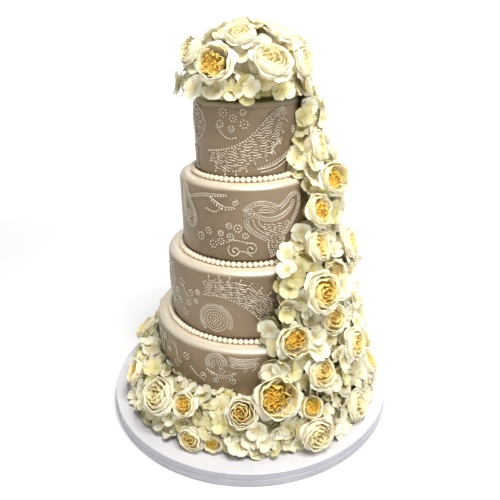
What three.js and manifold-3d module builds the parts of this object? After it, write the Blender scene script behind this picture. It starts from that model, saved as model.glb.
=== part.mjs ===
// A four-tier wedding cake on two stacked drums, dressed with fresh roses and hydrangea.
// The flowers crown the top tier, run down one side in a cascade and circle the foot.
// Units are millimetres and +Z is up. The origin is the centre of the lower drum's underside.
// An angle called "around" is in degrees from the front, -Y, turning towards +X.
import * as THREE from "three";
import { mergeVertices } from "three/addons/utils/BufferGeometryUtils.js";
import Module from "manifold-3d";

// ---------- Driving dimensions ----------

const GAP = 0.3; // between pieces that touch
const INCH = 25.4;

const DRUM_RADIUS = 236;
const DRUM_THICKNESS = 12;
const DRUM_SIDES = 48;

const TIER_SIDES = 40;
const TIER_EDGE_ROUNDING = 9;
const TIERS = [
  { name: "tier_bottom", radius: 6 * INCH, height: 143, pearls: false },
  { name: "tier_lower_middle", radius: 5 * INCH, height: 112, pearls: true },
  { name: "tier_upper_middle", radius: 4 * INCH, height: 116, pearls: true },
  { name: "tier_top", radius: 3 * INCH, height: 104, pearls: true },
];

const ROOM_SIDES = 24; // of the hollows that the flower beds leave for the tiers

const PEARL_RADIUS = 4;
const PEARL_PITCH = 8.4;
const PEARL_NECK = 0.4; // radius between two pearls, as a share of a pearl's

const ROPE = { width: 8, relief: 1.5, sunk: 1.5, points: 12 }; // the piped line round a paisley
// Each motif: where its middle is around the tier, how high on it, its length, and the turn of
// its tip from straight up, in degrees towards +X.
const PAISLEYS = {
  tier_bottom: [
    { around: -14, up: 108, length: 56, turn: 62 },
    { around: -150, up: 100, length: 62, turn: -50 },
  ],
  tier_lower_middle: [
    { around: -17, up: 50, length: 68, turn: -50 },
    { around: -120, up: 56, length: 68, turn: 45 },
  ],
  tier_upper_middle: [
    { around: 14, up: 52, length: 84, turn: 48 },
    { around: -66, up: 62, length: 68, turn: -20 },
    { around: -150, up: 56, length: 80, turn: 48 },
  ],
  tier_top: [
    { around: 12, up: 40, length: 74, turn: 52 },
    { around: -140, up: 46, length: 70, turn: 50 },
  ],
};

// The beds are the packed flower heads under the blossoms that show. Each starts inside the cake
// and is then cut back to the cake's skin. A lump is a share by which a bed swells and sinks.
const BED_SUNK = 12;
const CASCADE_LUMP = 0.16;
const GARLAND_LUMP = 0.014;
const TOPPER_LUMP = 0.03;
const GARLAND_BED = { middle: 168, foot: 20, reach: 22, rise: 60, sides: 30, arcs: 6 };
const GARLAND_TOP = 92; // the cascade starts above this height
const CASCADE_DEPTH = 19;
const CASCADE_EDGE_DEPTH = 3;
const STEP_EASE = 20; // how far below and above a tier's top the cascade eases inwards
const CASCADE_TOP = 500;
const TOPPER_BED = { radius: 78, rise: 54, middle: 522 };
const TOPPER_FLOOR = { height: 490, slope: 0.1 }; // its lower limit, which drops towards the back

// The cascade's two edges around the cake, by height.
const CASCADE_EDGES = [
  { up: 80, left: 8, right: 128 },
  { up: 200, left: 15, right: 124 },
  { up: 272, left: 23, right: 122 },
  { up: 300, left: 44, right: 122 },
  { up: 390, left: 54, right: 126 },
  { up: 430, left: 66, right: 130 },
  { up: 500, left: 86, right: 138 },
];

// Roses: the place of each bloom, its width, and how far its face leans up from level.
const ROSES = {
  topper: [
    { around: -25, up: 545, width: 46, lean: 18 },
    { around: 21, up: 542, width: 50, lean: 12 },
    { around: -8, up: 570, width: 40, lean: 58 },
    { around: 150, up: 580, width: 32, lean: 84 },
    { around: 62, up: 572, width: 38, lean: 60 },
    { around: 60, up: 544, width: 40, lean: 18 },
    { around: -66, up: 556, width: 38, lean: 32 },
    { around: 112, up: 550, width: 46, lean: 28 },
    { around: -142, up: 545, width: 50, lean: 22 },
  ],
  cascade: [
    { around: 70, up: 432, width: 46, lean: 12 },
    { around: 67, up: 387, width: 46, lean: 18 },
    { around: 51, up: 352, width: 46, lean: 18 },
    { around: 46, up: 300, width: 47, lean: 20 },
    { around: 73, up: 281, width: 50, lean: 22 },
    { around: 55, up: 262, width: 31, lean: 20 },
    { around: 37, up: 246, width: 56, lean: 22 },
    { around: 47, up: 192, width: 47, lean: 15 },
    { around: 22, up: 181, width: 48, lean: 22 },
    { around: 55, up: 144, width: 48, lean: 20 },
    { around: 32, up: 128, width: 47, lean: 24 },
    { around: 12, up: 105, width: 62, lean: 30 },
    { around: 100, up: 408, width: 44, lean: 15 },
    { around: 97, up: 336, width: 46, lean: 18 },
    { around: 102, up: 252, width: 50, lean: 18 },
    { around: 86, up: 176, width: 46, lean: 18 },
  ],
  garland: [
    { around: 27, up: 74, width: 36, lean: 40 },
    { around: 52, up: 42, width: 46, lean: 22 },
    { around: 26, up: 52, width: 48, lean: 5 },
    { around: -4, up: 82, width: 42, lean: 36 },
    { around: -16, up: 40, width: 28, lean: 10 },
    { around: -25, up: 42, width: 38, lean: 12 },
    { around: -31, up: 76, width: 36, lean: 42 },
    { around: -44, up: 72, width: 52, lean: 38 },
    { around: -69, up: 68, width: 40, lean: 36 },
    { around: 48, up: 78, width: 30, lean: 45 },
    { around: -104, up: 72, width: 44, lean: 45 },
    { around: 78, up: 58, width: 46, lean: 36 },
    { around: 114, up: 66, width: 48, lean: 40 },
    { around: -150, up: 64, width: 50, lean: 38 },
    { around: 158, up: 60, width: 48, lean: 35 },
  ],
};
const ROSE_DEPTH = 0.66; // of a bloom's width
const ROSE_HEART = 0.78; // height of the heart, of a bloom's depth
const ROSE_SAG = 0.8; // how far a petal's edge drops as it flares
const ROSE_SIDES = 8;
const ROSE_EASE = 12; // how far a rose may be eased out to clear its neighbours
const ROSE_MARGIN = 7; // bed around a rose that takes no floret

const FLORET_RADIUS = 19;
const FLORET_NOTCH = 0.61; // how far out the notches between the petals are, as a share
const FLORET_DIMPLE = 2;
const FLORET_DEPTH = 24;
const FLORET_STAND = 18; // height of a floret's face above the bed
const FLORET_HEADROOM = 27; // a bed that faces something nearer than this is hidden
const FLORET_SPACING = 35;
const FLORET_TRIES = 2600;
const FLORET_TILT = 1; // how strongly a floret leans at random away from the bed's normal
const SEED = 7;

// ---------- Heights ----------

const DRUMS_TOP = 2 * DRUM_THICKNESS + GAP;

let level = DRUMS_TOP + GAP;
for (const tier of TIERS) {
  tier.base = level;
  tier.top = level + tier.height;
  level = tier.top + GAP;
}

// ---------- Helpers ----------

const wasm = await Module();
wasm.setup();
const { Manifold } = wasm;

function seededRandom(seed) {
  let state = seed;
  return () => {
    state = (state + 0x6d2b79f5) | 0;
    let mixed = Math.imul(state ^ (state >>> 15), 1 | state);
    mixed = (mixed + Math.imul(mixed ^ (mixed >>> 7), 61 | mixed)) ^ mixed;
    return ((mixed ^ (mixed >>> 14)) >>> 0) / 4294967296;
  };
}

function radians(degrees) {
  return THREE.MathUtils.degToRad(degrees);
}

function polar(around, out, up) {
  const angle = radians(around);
  return new THREE.Vector3(out * Math.sin(angle), -out * Math.cos(angle), up);
}

// Linear steps between rows that are sorted by their "up" value.
function byHeight(rows, up, key) {
  if (up <= rows[0].up) return rows[0][key];
  for (let i = 1; i < rows.length; i++) {
    if (up <= rows[i].up) {
      const share = (up - rows[i - 1].up) / (rows[i].up - rows[i - 1].up);
      return THREE.MathUtils.lerp(rows[i - 1][key], rows[i][key], share);
    }
  }
  return rows[rows.length - 1][key];
}

// Moves every vertex of a geometry by a rule that edits the point in place.
function reshape(geometry, rule) {
  const position = geometry.getAttribute("position");
  const point = new THREE.Vector3();
  for (let i = 0; i < position.count; i++) {
    rule(point.fromBufferAttribute(position, i));
    position.setXYZ(i, point.x, point.y, point.z);
  }
  return geometry;
}

function solidOf(geometry) {
  const bare = geometry.clone();
  bare.deleteAttribute("normal");
  bare.deleteAttribute("uv");
  const merged = mergeVertices(bare, 1e-3);
  const mesh = new wasm.Mesh({
    numProp: 3,
    vertProperties: new Float32Array(merged.getAttribute("position").array),
    triVerts: new Uint32Array(merged.index.array),
  });
  return new Manifold(mesh);
}

function geometryOf(solid) {
  const mesh = solid.getMesh();
  const geometry = new THREE.BufferGeometry();
  geometry.setAttribute("position", new THREE.BufferAttribute(mesh.vertProperties, 3));
  geometry.setIndex(new THREE.BufferAttribute(mesh.triVerts, 1));
  geometry.computeVertexNormals();
  return geometry;
}

// A turned solid about +Z from [radius, height] pairs that run from the foot's axis to the top's.
function turned(profile, sides) {
  const points = profile.map(([radius, height]) => new THREE.Vector2(radius, height));
  return new THREE.LatheGeometry(points, sides).rotateX(Math.PI / 2);
}

function largestBody(solid) {
  const bodies = solid.decompose();
  return bodies.reduce((best, body) => (body.volume() > best.volume() ? body : best));
}

function overlaps(a, b) {
  const touching = 1e-4;
  return a.intersect(b).volume() > touching;
}

// ---------- Drums ----------

function drum(base) {
  const top = base + DRUM_THICKNESS;
  const profile = [
    [0, base],
    [DRUM_RADIUS, base],
    [DRUM_RADIUS, top],
    [0, top],
  ];
  return turned(profile, DRUM_SIDES);
}

// ---------- Tiers ----------

function tierProfile({ radius, base, top }) {
  const profile = [
    [0, base],
    [radius, base],
  ];
  for (const degrees of [0, 45, 90]) {
    const angle = radians(degrees);
    profile.push([
      radius - TIER_EDGE_ROUNDING * (1 - Math.cos(angle)),
      top - TIER_EDGE_ROUNDING * (1 - Math.sin(angle)),
    ]);
  }
  profile.push([0, top]);
  return profile;
}

// The outline of a paisley of unit length about its middle: a teardrop with its tip bent over.
function paisleyPoint(turn) {
  const along = -0.5 * Math.cos(turn);
  const half = 0.3 * Math.sin(turn) * (0.64 - 0.72 * along);
  const hook = 0.4 * Math.pow(Math.max(0, along + 0.1), 2);
  return new THREE.Vector2(half + hook, along);
}

// The rope that is piped round a paisley: a ridge wrapped onto the tier, its foot sunk in it.
function paisley(tier, motif) {
  const geometry = new THREE.TorusGeometry(1, 0.5, 3, ROPE.points);
  const centre = new THREE.Vector2();
  return reshape(geometry, (point) => {
    const turn = Math.atan2(point.y, point.x);
    const crest = point.z > 0.3;
    const across = crest ? 0 : (Math.sign(Math.hypot(point.x, point.y) - 1) * ROPE.width) / 2;
    const spot = paisleyPoint(turn).multiplyScalar(motif.length);
    const ahead = paisleyPoint(turn + 0.01).multiplyScalar(motif.length).sub(spot).normalize();
    spot.add(new THREE.Vector2(-ahead.y, ahead.x).multiplyScalar(-across));
    spot.rotateAround(centre, -radians(motif.turn));
    const around = motif.around + THREE.MathUtils.radToDeg(spot.x / tier.radius);
    const out = crest ? ROPE.relief : -ROPE.sunk;
    point.copy(polar(around, tier.radius + out, tier.base + motif.up + spot.y));
  });
}

function cakeTier(tier) {
  const body = solidOf(turned(tierProfile(tier), TIER_SIDES));
  const motifs = PAISLEYS[tier.name].map((motif) => solidOf(paisley(tier, motif)));
  return Manifold.union([body, ...motifs]);
}

// ---------- Pearl strings ----------

// A ring of pearls, three-sided, with an edge turned up and out.
function pearlString(tier) {
  const ring = tier.radius + PEARL_RADIUS + GAP;
  const pearls = Math.round((2 * Math.PI * ring) / PEARL_PITCH);
  const geometry = new THREE.TorusGeometry(ring, PEARL_RADIUS, 3, 2 * pearls);
  const centre = new THREE.Vector2();
  return reshape(geometry, (point) => {
    const angle = Math.atan2(point.y, point.x);
    const slot = Math.round((angle / Math.PI) * pearls);
    const offset = new THREE.Vector2(Math.hypot(point.x, point.y) - ring, point.z);
    offset.rotateAround(centre, Math.PI / 4).multiplyScalar(slot % 2 ? PEARL_NECK : 1);
    const out = ring + offset.x;
    point.set(out * Math.cos(angle), out * Math.sin(angle), tier.base + PEARL_RADIUS + offset.y);
  });
}

// ---------- Room that the cake needs inside the flowers ----------

// A tier and its pearls, kept clear of by flat sides that lie just outside the round ones.
function tierRoom(tier) {
  const outside = 1 / Math.cos(Math.PI / ROOM_SIDES);
  const pearls = tier.pearls ? 2 * PEARL_RADIUS + GAP : 0;
  const foot = (tier.radius + pearls + GAP) * outside;
  const wall = (tier.radius + GAP) * outside;
  const edge = TIER_EDGE_ROUNDING / 2;
  const profile = [
    [0, tier.base - GAP],
    [foot, tier.base - GAP],
    [foot, tier.base + pearls],
    [wall, tier.base + pearls + GAP],
    [wall, tier.top - edge],
    [wall - edge, tier.top + GAP],
    [0, tier.top + GAP],
  ];
  return solidOf(turned(profile, ROOM_SIDES));
}

// ---------- Flower beds ----------

// The radius that the cascade follows: the tiers' sides, with their steps eased.
const CASCADE_SPINE = TIERS.flatMap((tier, i) => {
  const upper = TIERS[i + 1];
  const rows = [
    { up: tier.base + (i ? STEP_EASE : 0), radius: tier.radius },
    { up: tier.top - STEP_EASE, radius: tier.radius },
  ];
  if (upper) rows.push({ up: tier.top, radius: 0.4 * tier.radius + 0.6 * upper.radius + STEP_EASE / 2 });
  return rows;
});

// A thin block bent round the tiers between the cascade's edges, its outer face swollen.
function cascadeBed() {
  const low = GARLAND_TOP - STEP_EASE;
  const geometry = new THREE.BoxGeometry(1, 1, 1, 6, 11, 1);
  return reshape(geometry, (point) => {
    const up = THREE.MathUtils.lerp(low, CASCADE_TOP, point.y + 0.5);
    const left = byHeight(CASCADE_EDGES, up, "left");
    const right = byHeight(CASCADE_EDGES, up, "right");
    const around = THREE.MathUtils.lerp(left, right, point.x + 0.5);
    const swell = Math.sqrt(1 - Math.pow(2 * point.x, 4));
    const lump = 1 + CASCADE_LUMP * Math.sin(around / 7) * Math.cos(up / 17);
    const depth = CASCADE_EDGE_DEPTH + (CASCADE_DEPTH - CASCADE_EDGE_DEPTH) * swell * lump;
    const radius = byHeight(CASCADE_SPINE, up, "radius");
    point.copy(polar(around, radius + (point.z > 0 ? depth : -BED_SUNK), up));
  });
}

// A ring round the foot of the cake with a rounded shoulder.
function garlandBed() {
  const { middle, foot, reach, rise, sides } = GARLAND_BED;
  const ground = DRUMS_TOP + GAP;
  const inner = TIERS[0].radius - BED_SUNK;
  const lift = Math.asin((ground - foot) / rise);
  const profile = [[inner, ground]];
  for (const degrees of [0, 28, 52, 74]) {
    const angle = lift + radians(degrees);
    profile.push([middle + reach * Math.cos(angle), foot + rise * Math.sin(angle)]);
  }
  profile.push([inner, foot + rise], [inner, ground]);
  return reshape(turned(profile, sides), (point) => {
    if (Math.hypot(point.x, point.y) < TIERS[0].radius) return;
    const angle = Math.atan2(point.y, point.x);
    const lump = 1 + GARLAND_LUMP * Math.sin(9 * angle + point.z / 8);
    point.x *= lump;
    point.y *= lump;
  });
}

function topperBed() {
  const { radius, rise, middle } = TOPPER_BED;
  const geometry = new THREE.SphereGeometry(1, 16, 9).rotateX(Math.PI / 2);
  return reshape(geometry, (point) => {
    const lump = 1 + TOPPER_LUMP * Math.sin(5 * Math.atan2(point.y, point.x) + 3 * point.z);
    point.set(point.x * radius * lump, point.y * radius * lump, middle + point.z * rise);
  });
}

// Cuts a bed down to what lies between two heights.
function between(solid, low, high) {
  return solid.trimByPlane([0, 0, 1], low).trimByPlane([0, 0, -1], -high);
}

// Cuts a bed down to a wedge around the axis, given its two sides in degrees around.
function wedge(solid, from, to) {
  const start = polar(from + 90, 1, 0);
  const end = polar(to - 90, 1, 0);
  return solid
    .trimByPlane([start.x, start.y, 0], GAP / 2)
    .trimByPlane([end.x, end.y, 0], GAP / 2);
}

// Each cell is a head or run of blossom: its bed, and the cut that keeps it in its own room.
function flowerCells(beds) {
  const { topper, cascade, garland } = beds;
  const cells = [];
  const { height, slope } = TOPPER_FLOOR;
  const upright = Math.hypot(1, slope);
  const aboveFloor = (solid) => solid.trimByPlane([0, slope, 1], (height + GAP) / upright);
  const belowFloor = (solid) => solid.trimByPlane([0, -slope, -1], -height / upright);
  cells.push({ name: "hydrangea_topper", bed: topper, cut: aboveFloor });

  let high = CASCADE_TOP;
  for (let i = TIERS.length - 1; i >= 0; i--) {
    const low = i ? TIERS[i - 1].top + GAP / 2 : GARLAND_TOP;
    const ceiling = high;
    const cut = (solid) => belowFloor(between(solid, low + GAP / 2, ceiling - GAP / 2));
    const name = "hydrangea_cascade_" + (TIERS.length - i);
    cells.push({ name, bed: largestBody(cut(cascade)), cut });
    high = low;
  }

  const arc = 360 / GARLAND_BED.arcs;
  for (let i = 0; i < GARLAND_BED.arcs; i++) {
    const from = (i - 0.5) * arc;
    const low = DRUMS_TOP + GAP;
    const cut = (solid) => wedge(between(solid, low, GARLAND_TOP - GAP / 2), from, from + arc);
    const name = "hydrangea_garland_" + (i + 1);
    cells.push({ name, bed: largestBody(cut(garland)), cut });
  }
  return cells;
}

// ---------- Roses ----------

// A bloom that opens along +Z from its calyx at the origin: ring radii as shares of its own
// radius, heights as shares of its depth, and how strongly the petals scallop each ring.
const ROSE_RINGS = [
  { radius: 0.8, height: 0.42, scallop: 0 },
  { radius: 1, height: 0.8, scallop: 0.07 },
  { radius: 0.7, height: 0.68, scallop: 0 },
  { radius: 0.48, height: 1, scallop: -0.1 },
];

function bloom(width) {
  const radius = width / 2;
  const depth = width * ROSE_DEPTH;
  const rings = ROSE_RINGS.map((ring) => ({
    out: ring.radius * radius,
    up: ring.height * depth,
    scallop: ring.scallop,
  }));
  const profile = [[0, 0], ...rings.map((ring) => [ring.out, ring.up]), [0, ROSE_HEART * depth]];
  return reshape(turned(profile, ROSE_SIDES), (point) => {
    const out = Math.hypot(point.x, point.y);
    const ring = rings.find((entry) => Math.hypot(entry.out - out, entry.up - point.z) < 0.01);
    if (!ring) return;
    const flare = ring.scallop * Math.cos((ROSE_SIDES / 2) * Math.atan2(point.y, point.x));
    point.x *= 1 + flare;
    point.y *= 1 + flare;
    point.z -= flare * depth * ROSE_SAG;
  });
}

// The room that a bloom needs, its petals' sag and flare included.
function bloomRoom(width) {
  const radius = width / 2;
  const depth = width * ROSE_DEPTH;
  const [belly, rim] = ROSE_RINGS;
  const widest = (1 + rim.scallop) * rim.radius * radius + 2 * GAP;
  const sag = rim.scallop * ROSE_SAG;
  const profile = [
    [0, -2 * GAP],
    [belly.radius * radius + 2 * GAP, belly.height * depth - GAP],
    [widest, (rim.height - sag) * depth - 3 * GAP],
    [widest, (1 + 2 * sag) * depth],
    [0, (1 + 2 * sag) * depth],
  ];
  return turned(profile, ROSE_SIDES);
}

function facing(rose) {
  return polar(rose.around, Math.cos(radians(rose.lean)), Math.sin(radians(rose.lean)));
}

// A matrix that stands a piece on a point with its +Z along a direction and a spin about it.
function standing(point, direction, spin) {
  const up = new THREE.Vector3(0, 0, 1);
  const turn = new THREE.Quaternion().setFromUnitVectors(up, direction);
  turn.multiply(new THREE.Quaternion().setFromAxisAngle(up, spin));
  return new THREE.Matrix4().compose(point, turn, new THREE.Vector3(1, 1, 1));
}

function firstHit(meshes, origin, direction) {
  const hits = new THREE.Raycaster(origin, direction).intersectObjects(meshes, false);
  return hits.length ? hits[0] : null;
}

// How far out from the axis the beds' skin is, about where a rose is listed.
function skinRadius(place, up) {
  if (place === "cascade") return byHeight(CASCADE_SPINE, up, "radius") + CASCADE_DEPTH;
  const onTopper = place === "topper";
  const { rise } = onTopper ? TOPPER_BED : GARLAND_BED;
  const above = Math.abs(up - (onTopper ? TOPPER_BED.middle : GARLAND_BED.foot));
  const share = Math.min(0.99, above / (rise + ROSE_MARGIN));
  const bulge = Math.sqrt(1 - share * share);
  return onTopper ? TOPPER_BED.radius * bulge : GARLAND_BED.middle + GARLAND_BED.reach * bulge;
}

// Where a line through the rose's listed place, along its facing, meets the beds from outside.
function roseSeat(place, rose, direction, bedMeshes) {
  const far = 2 * DRUM_RADIUS;
  const listed = polar(rose.around, skinRadius(place, rose.up), rose.up);
  const outside = listed.addScaledVector(direction, far);
  const hit = firstHit(bedMeshes, outside, direction.clone().negate());
  if (!hit) throw new Error("a rose at " + rose.around + ", " + rose.up + " misses the beds");
  return hit.point.addScaledVector(direction, 2 * GAP);
}

// Sets each rose on the beds, then eases it out until it is clear of the cake and its neighbours.
function setRoses(bedMeshes, firmSolids) {
  const random = seededRandom(SEED);
  const roses = [];
  for (const [place, list] of Object.entries(ROSES)) {
    list.forEach((rose, i) => {
      const name = "rose_" + place + "_" + (i + 1);
      const direction = facing(rose);
      const spin = random() * Math.PI;
      const seat = roseSeat(place, rose, direction, bedMeshes);
      for (let eased = 0; eased <= ROSE_EASE; eased += 1) {
        const matrix = standing(seat, direction, spin);
        const hollow = solidOf(bloomRoom(rose.width).applyMatrix4(matrix));
        const crowded =
          firmSolids.some((solid) => overlaps(hollow, solid)) ||
          roses.some((other) => overlaps(hollow, other.solid));
        if (!crowded) {
          const solid = solidOf(bloom(rose.width).applyMatrix4(matrix));
          roses.push({ name, solid, hollow, seat, direction, width: rose.width });
          return;
        }
        seat.addScaledVector(direction, 1);
      }
      throw new Error(name + " has no room");
    });
  }
  return roses;
}

// ---------- Hydrangea florets ----------

// Four petals about a dimple, on a point that is pushed into the bed.
function floret() {
  const geometry = new THREE.ConeGeometry(FLORET_RADIUS, FLORET_DEPTH, 8);
  geometry.rotateX(-Math.PI / 2).translate(0, 0, FLORET_DEPTH / 2);
  return reshape(geometry, (point) => {
    const out = Math.hypot(point.x, point.y);
    if (point.z < FLORET_DEPTH / 2) return;
    if (out < FLORET_RADIUS / 2) {
      point.z -= FLORET_DIMPLE;
      return;
    }
    const step = Math.round((Math.atan2(point.y, point.x) / Math.PI) * 4);
    if (step % 2 === 0) return;
    point.x *= FLORET_NOTCH;
    point.y *= FLORET_NOTCH;
    point.z -= FLORET_DIMPLE;
  });
}

// Points over the outside of a bed, drawn by area from its triangles.
function bedSampler(bed, random) {
  const geometry = geometryOf(bed).toNonIndexed();
  const position = geometry.getAttribute("position");
  const triangles = [];
  let area = 0;
  for (let i = 0; i < position.count; i += 3) {
    const corners = [0, 1, 2].map((k) => new THREE.Vector3().fromBufferAttribute(position, i + k));
    const triangle = new THREE.Triangle(...corners);
    area += triangle.getArea();
    triangles.push({ triangle, area });
  }
  return () => {
    const pick = random() * area;
    const { triangle } = triangles.find((entry) => entry.area >= pick);
    const root = Math.sqrt(random());
    const share = random();
    const point = new THREE.Vector3()
      .addScaledVector(triangle.a, 1 - root)
      .addScaledVector(triangle.b, root * (1 - share))
      .addScaledVector(triangle.c, root * share);
    return { point, normal: triangle.getNormal(new THREE.Vector3()) };
  };
}

function roseIsNear(point, roses) {
  return roses.some((rose) => rose.seat.distanceTo(point) < rose.width / 2 + ROSE_MARGIN);
}

// Spreads florets over the outside of a cell's bed. One that would meet the cake or a rose, or
// that nobody could see, is skipped.
function setFlorets(cell, roses, room, outerMeshes, placed, random) {
  const sample = bedSampler(cell.bed, random);
  const florets = [];
  for (let i = 0; i < FLORET_TRIES; i++) {
    const { point, normal } = sample();
    const lean = new THREE.Vector3(random() - 0.5, random() - 0.5, random() - 0.5);
    const direction = normal.clone().addScaledVector(lean, FLORET_TILT).normalize();
    const spin = random() * Math.PI;
    if (placed.some((other) => other.distanceTo(point) < FLORET_SPACING)) continue;
    if (roseIsNear(point, roses)) continue;
    const blocked = firstHit(outerMeshes, point.clone().addScaledVector(normal, 2 * GAP), normal);
    if (blocked && blocked.distance < FLORET_HEADROOM) continue;
    const seat = point.clone().addScaledVector(direction, FLORET_STAND - FLORET_DEPTH);
    const solid = solidOf(floret().applyMatrix4(standing(seat, direction, spin)));
    if (overlaps(solid, room)) continue;
    if (roses.some((rose) => overlaps(solid, rose.hollow))) continue;
    placed.push(point);
    florets.push(solid);
  }
  return florets;
}

// ---------- Assembly ----------

const COLOURS = {
  drum: 0xececf0,
  icing: 0xcbb8a4,
  pearl: 0xf3e2cf,
  rose: 0xf4e9b8,
  hydrangea: 0xe6e8cf,
};

function material(colour, roughness) {
  return new THREE.MeshStandardMaterial({ color: colour, roughness, metalness: 0 });
}

const cake = new THREE.Group();

function addPiece(name, geometry, colour, roughness) {
  const mesh = new THREE.Mesh(geometry, material(colour, roughness));
  mesh.name = name;
  cake.add(mesh);
  return mesh;
}

addPiece("drum_lower", drum(0), COLOURS.drum, 0.5);
addPiece("drum_upper", drum(DRUM_THICKNESS + GAP), COLOURS.drum, 0.5);
const tierSolids = TIERS.map(cakeTier);
TIERS.forEach((tier, i) => {
  addPiece(tier.name, geometryOf(tierSolids[i]), COLOURS.icing, 0.4);
});
for (const tier of TIERS.filter((entry) => entry.pearls)) {
  addPiece(tier.name.replace("tier", "pearls"), pearlString(tier), COLOURS.pearl, 0.3);
}

const firmMeshes = [...cake.children];
const room = Manifold.union([...TIERS.map(tierRoom), ...tierSolids]);
const beds = {
  topper: solidOf(topperBed()).subtract(room),
  cascade: solidOf(cascadeBed()).subtract(room),
  garland: solidOf(garlandBed()).subtract(room),
};
const cells = flowerCells(beds);
const bedMeshes = Object.values(beds).map((bed) => {
  return new THREE.Mesh(geometryOf(bed), new THREE.MeshBasicMaterial());
});
const board = solidOf(drum(DRUM_THICKNESS + 2 * GAP));
const roses = setRoses(bedMeshes, [room, board, ...Object.values(beds)]);
const random = seededRandom(SEED);
const placedFlorets = [];
const shading = [...firmMeshes, ...bedMeshes];
for (const cell of cells) {
  const florets = setFlorets(cell, roses, room, shading, placedFlorets, random);
  const dressed = Manifold.union([cell.bed, ...florets]);
  addPiece(cell.name, geometryOf(largestBody(cell.cut(dressed))), COLOURS.hydrangea, 0.7);
}
for (const rose of roses) addPiece(rose.name, geometryOf(rose.solid), COLOURS.rose, 0.6);

export default cake;
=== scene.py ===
"""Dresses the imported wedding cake: smooth icing with piped lace, pearl strings, roses,
hydrangea and two foiled drums, on a pale studio floor. Lengths are metres and +Z is up."""

import math

import bmesh
import bpy
import numpy as np
from bpy.props import FloatProperty, FloatVectorProperty, IntProperty, PointerProperty
from mathutils import Matrix, Vector


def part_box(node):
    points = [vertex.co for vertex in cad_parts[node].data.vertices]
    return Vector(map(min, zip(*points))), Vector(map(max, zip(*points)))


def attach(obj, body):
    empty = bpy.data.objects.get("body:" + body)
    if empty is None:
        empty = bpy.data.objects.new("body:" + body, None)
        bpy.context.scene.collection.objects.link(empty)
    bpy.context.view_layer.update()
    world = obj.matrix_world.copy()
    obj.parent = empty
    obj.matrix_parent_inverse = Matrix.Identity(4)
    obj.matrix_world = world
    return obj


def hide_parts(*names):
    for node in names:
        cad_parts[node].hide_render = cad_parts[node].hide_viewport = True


bl_info = {
    "name": "Tiered Cake Dresser",
    "version": (1, 0, 0),
    "blender": (4, 5, 0),
    "location": "3D View > Sidebar > Cake",
    "description": "Icing, piped lace, pearls, fresh flowers and drums for a tiered cake",
    "category": "Object",
}

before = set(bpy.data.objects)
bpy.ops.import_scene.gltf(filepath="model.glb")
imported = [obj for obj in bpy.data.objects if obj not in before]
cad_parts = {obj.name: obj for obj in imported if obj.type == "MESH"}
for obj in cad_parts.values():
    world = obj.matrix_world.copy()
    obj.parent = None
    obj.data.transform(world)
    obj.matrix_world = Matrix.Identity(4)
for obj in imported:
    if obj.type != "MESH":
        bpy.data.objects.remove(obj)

MM = 0.001
TIERS = ("tier_bottom", "tier_lower_middle", "tier_upper_middle", "tier_top")
DRUMS = ("drum_lower", "drum_upper")
GOLDEN_ANGLE = math.radians(137.5)
SIDES = 160  # of a turned drum or tier
GAP = 0.3 * MM  # between a piece and what it lies on


# ---------- Colours and settings ----------


def shade(red, green, blue):
    """Linear values of a colour that is given as a screen shows it, from 0 to 255."""
    linear = []
    for level in (red, green, blue):
        level /= 255
        linear.append(level / 12.92 if level < 0.04045 else ((level + 0.055) / 1.055) ** 2.4)
    return tuple(linear)


def length(name, description, default):
    return FloatProperty(
        name=name, description=description, default=default, min=0, unit="LENGTH", precision=4
    )


def number(name, description, default):
    return FloatProperty(name=name, description=description, default=default)


def colour(name, description, default):
    return FloatVectorProperty(
        name=name, description=description, default=default, subtype="COLOR", min=0, max=1
    )


class DrumSettings(bpy.types.PropertyGroup):
    edge: length("Edge", "Rounding of a drum's edges", 1.6 * MM)
    foil: colour("Foil", "Colour of the covered top", shade(225, 223, 226))
    ribbon: colour("Ribbon", "Colour of the band round the side", shade(184, 181, 189))


class IcingSettings(bpy.types.PropertyGroup):
    edge: length("Edge", "Rounding of a tier's upper edge", 9 * MM)
    uneven: length("Unevenness", "How far the smoothed side wanders", 0.35 * MM)
    lustre: number("Lustre", "Share of pearl lustre on the fondant", 0.35)
    colour: colour("Colour", "Colour of the fondant", (0.225, 0.165, 0.102))
    # Painted highlight: the same fondant shown paler where the top light falls on level tops, not a
    # different icing.
    ledge: colour("Ledges", "Colour where the lustre lies on a level top", (0.8, 0.71, 0.56))


class LaceSettings(bpy.types.PropertyGroup):
    bead: length("Bead", "Radius of a piped bead", 1.35 * MM)
    line: length("Line", "Radius of a piped line", 0.85 * MM)
    colour: colour("Colour", "Colour of the royal icing", (0.66, 0.57, 0.445))


class PearlSettings(bpy.types.PropertyGroup):
    radius: length("Radius", "Radius of a pearl", 4.05 * MM)
    pitch: length("Pitch", "Distance from pearl to pearl", 7.9 * MM)
    colour: colour("Colour", "Colour of the pearls", shade(248, 236, 212))


class RoseSettings(bpy.types.PropertyGroup):
    thickness: length("Thickness", "Thickness of a petal", 0.7 * MM)
    nod: number("Nod", "How far a bloom may turn from its solid's way", 0.1)
    fullness: number("Fullness", "How far a bloom opens beyond its solid", 1.2)
    outer: colour("Outer petals", "Colour of the guard petals", shade(237, 230, 207))
    butter: colour("Inner petals", "Colour towards the heart", shade(238, 217, 134))
    gold: colour("Heart", "Colour of the heart", shade(230, 182, 52))
    seed: IntProperty(name="Seed", description="Seed of the petals' variation", default=5)


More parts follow.
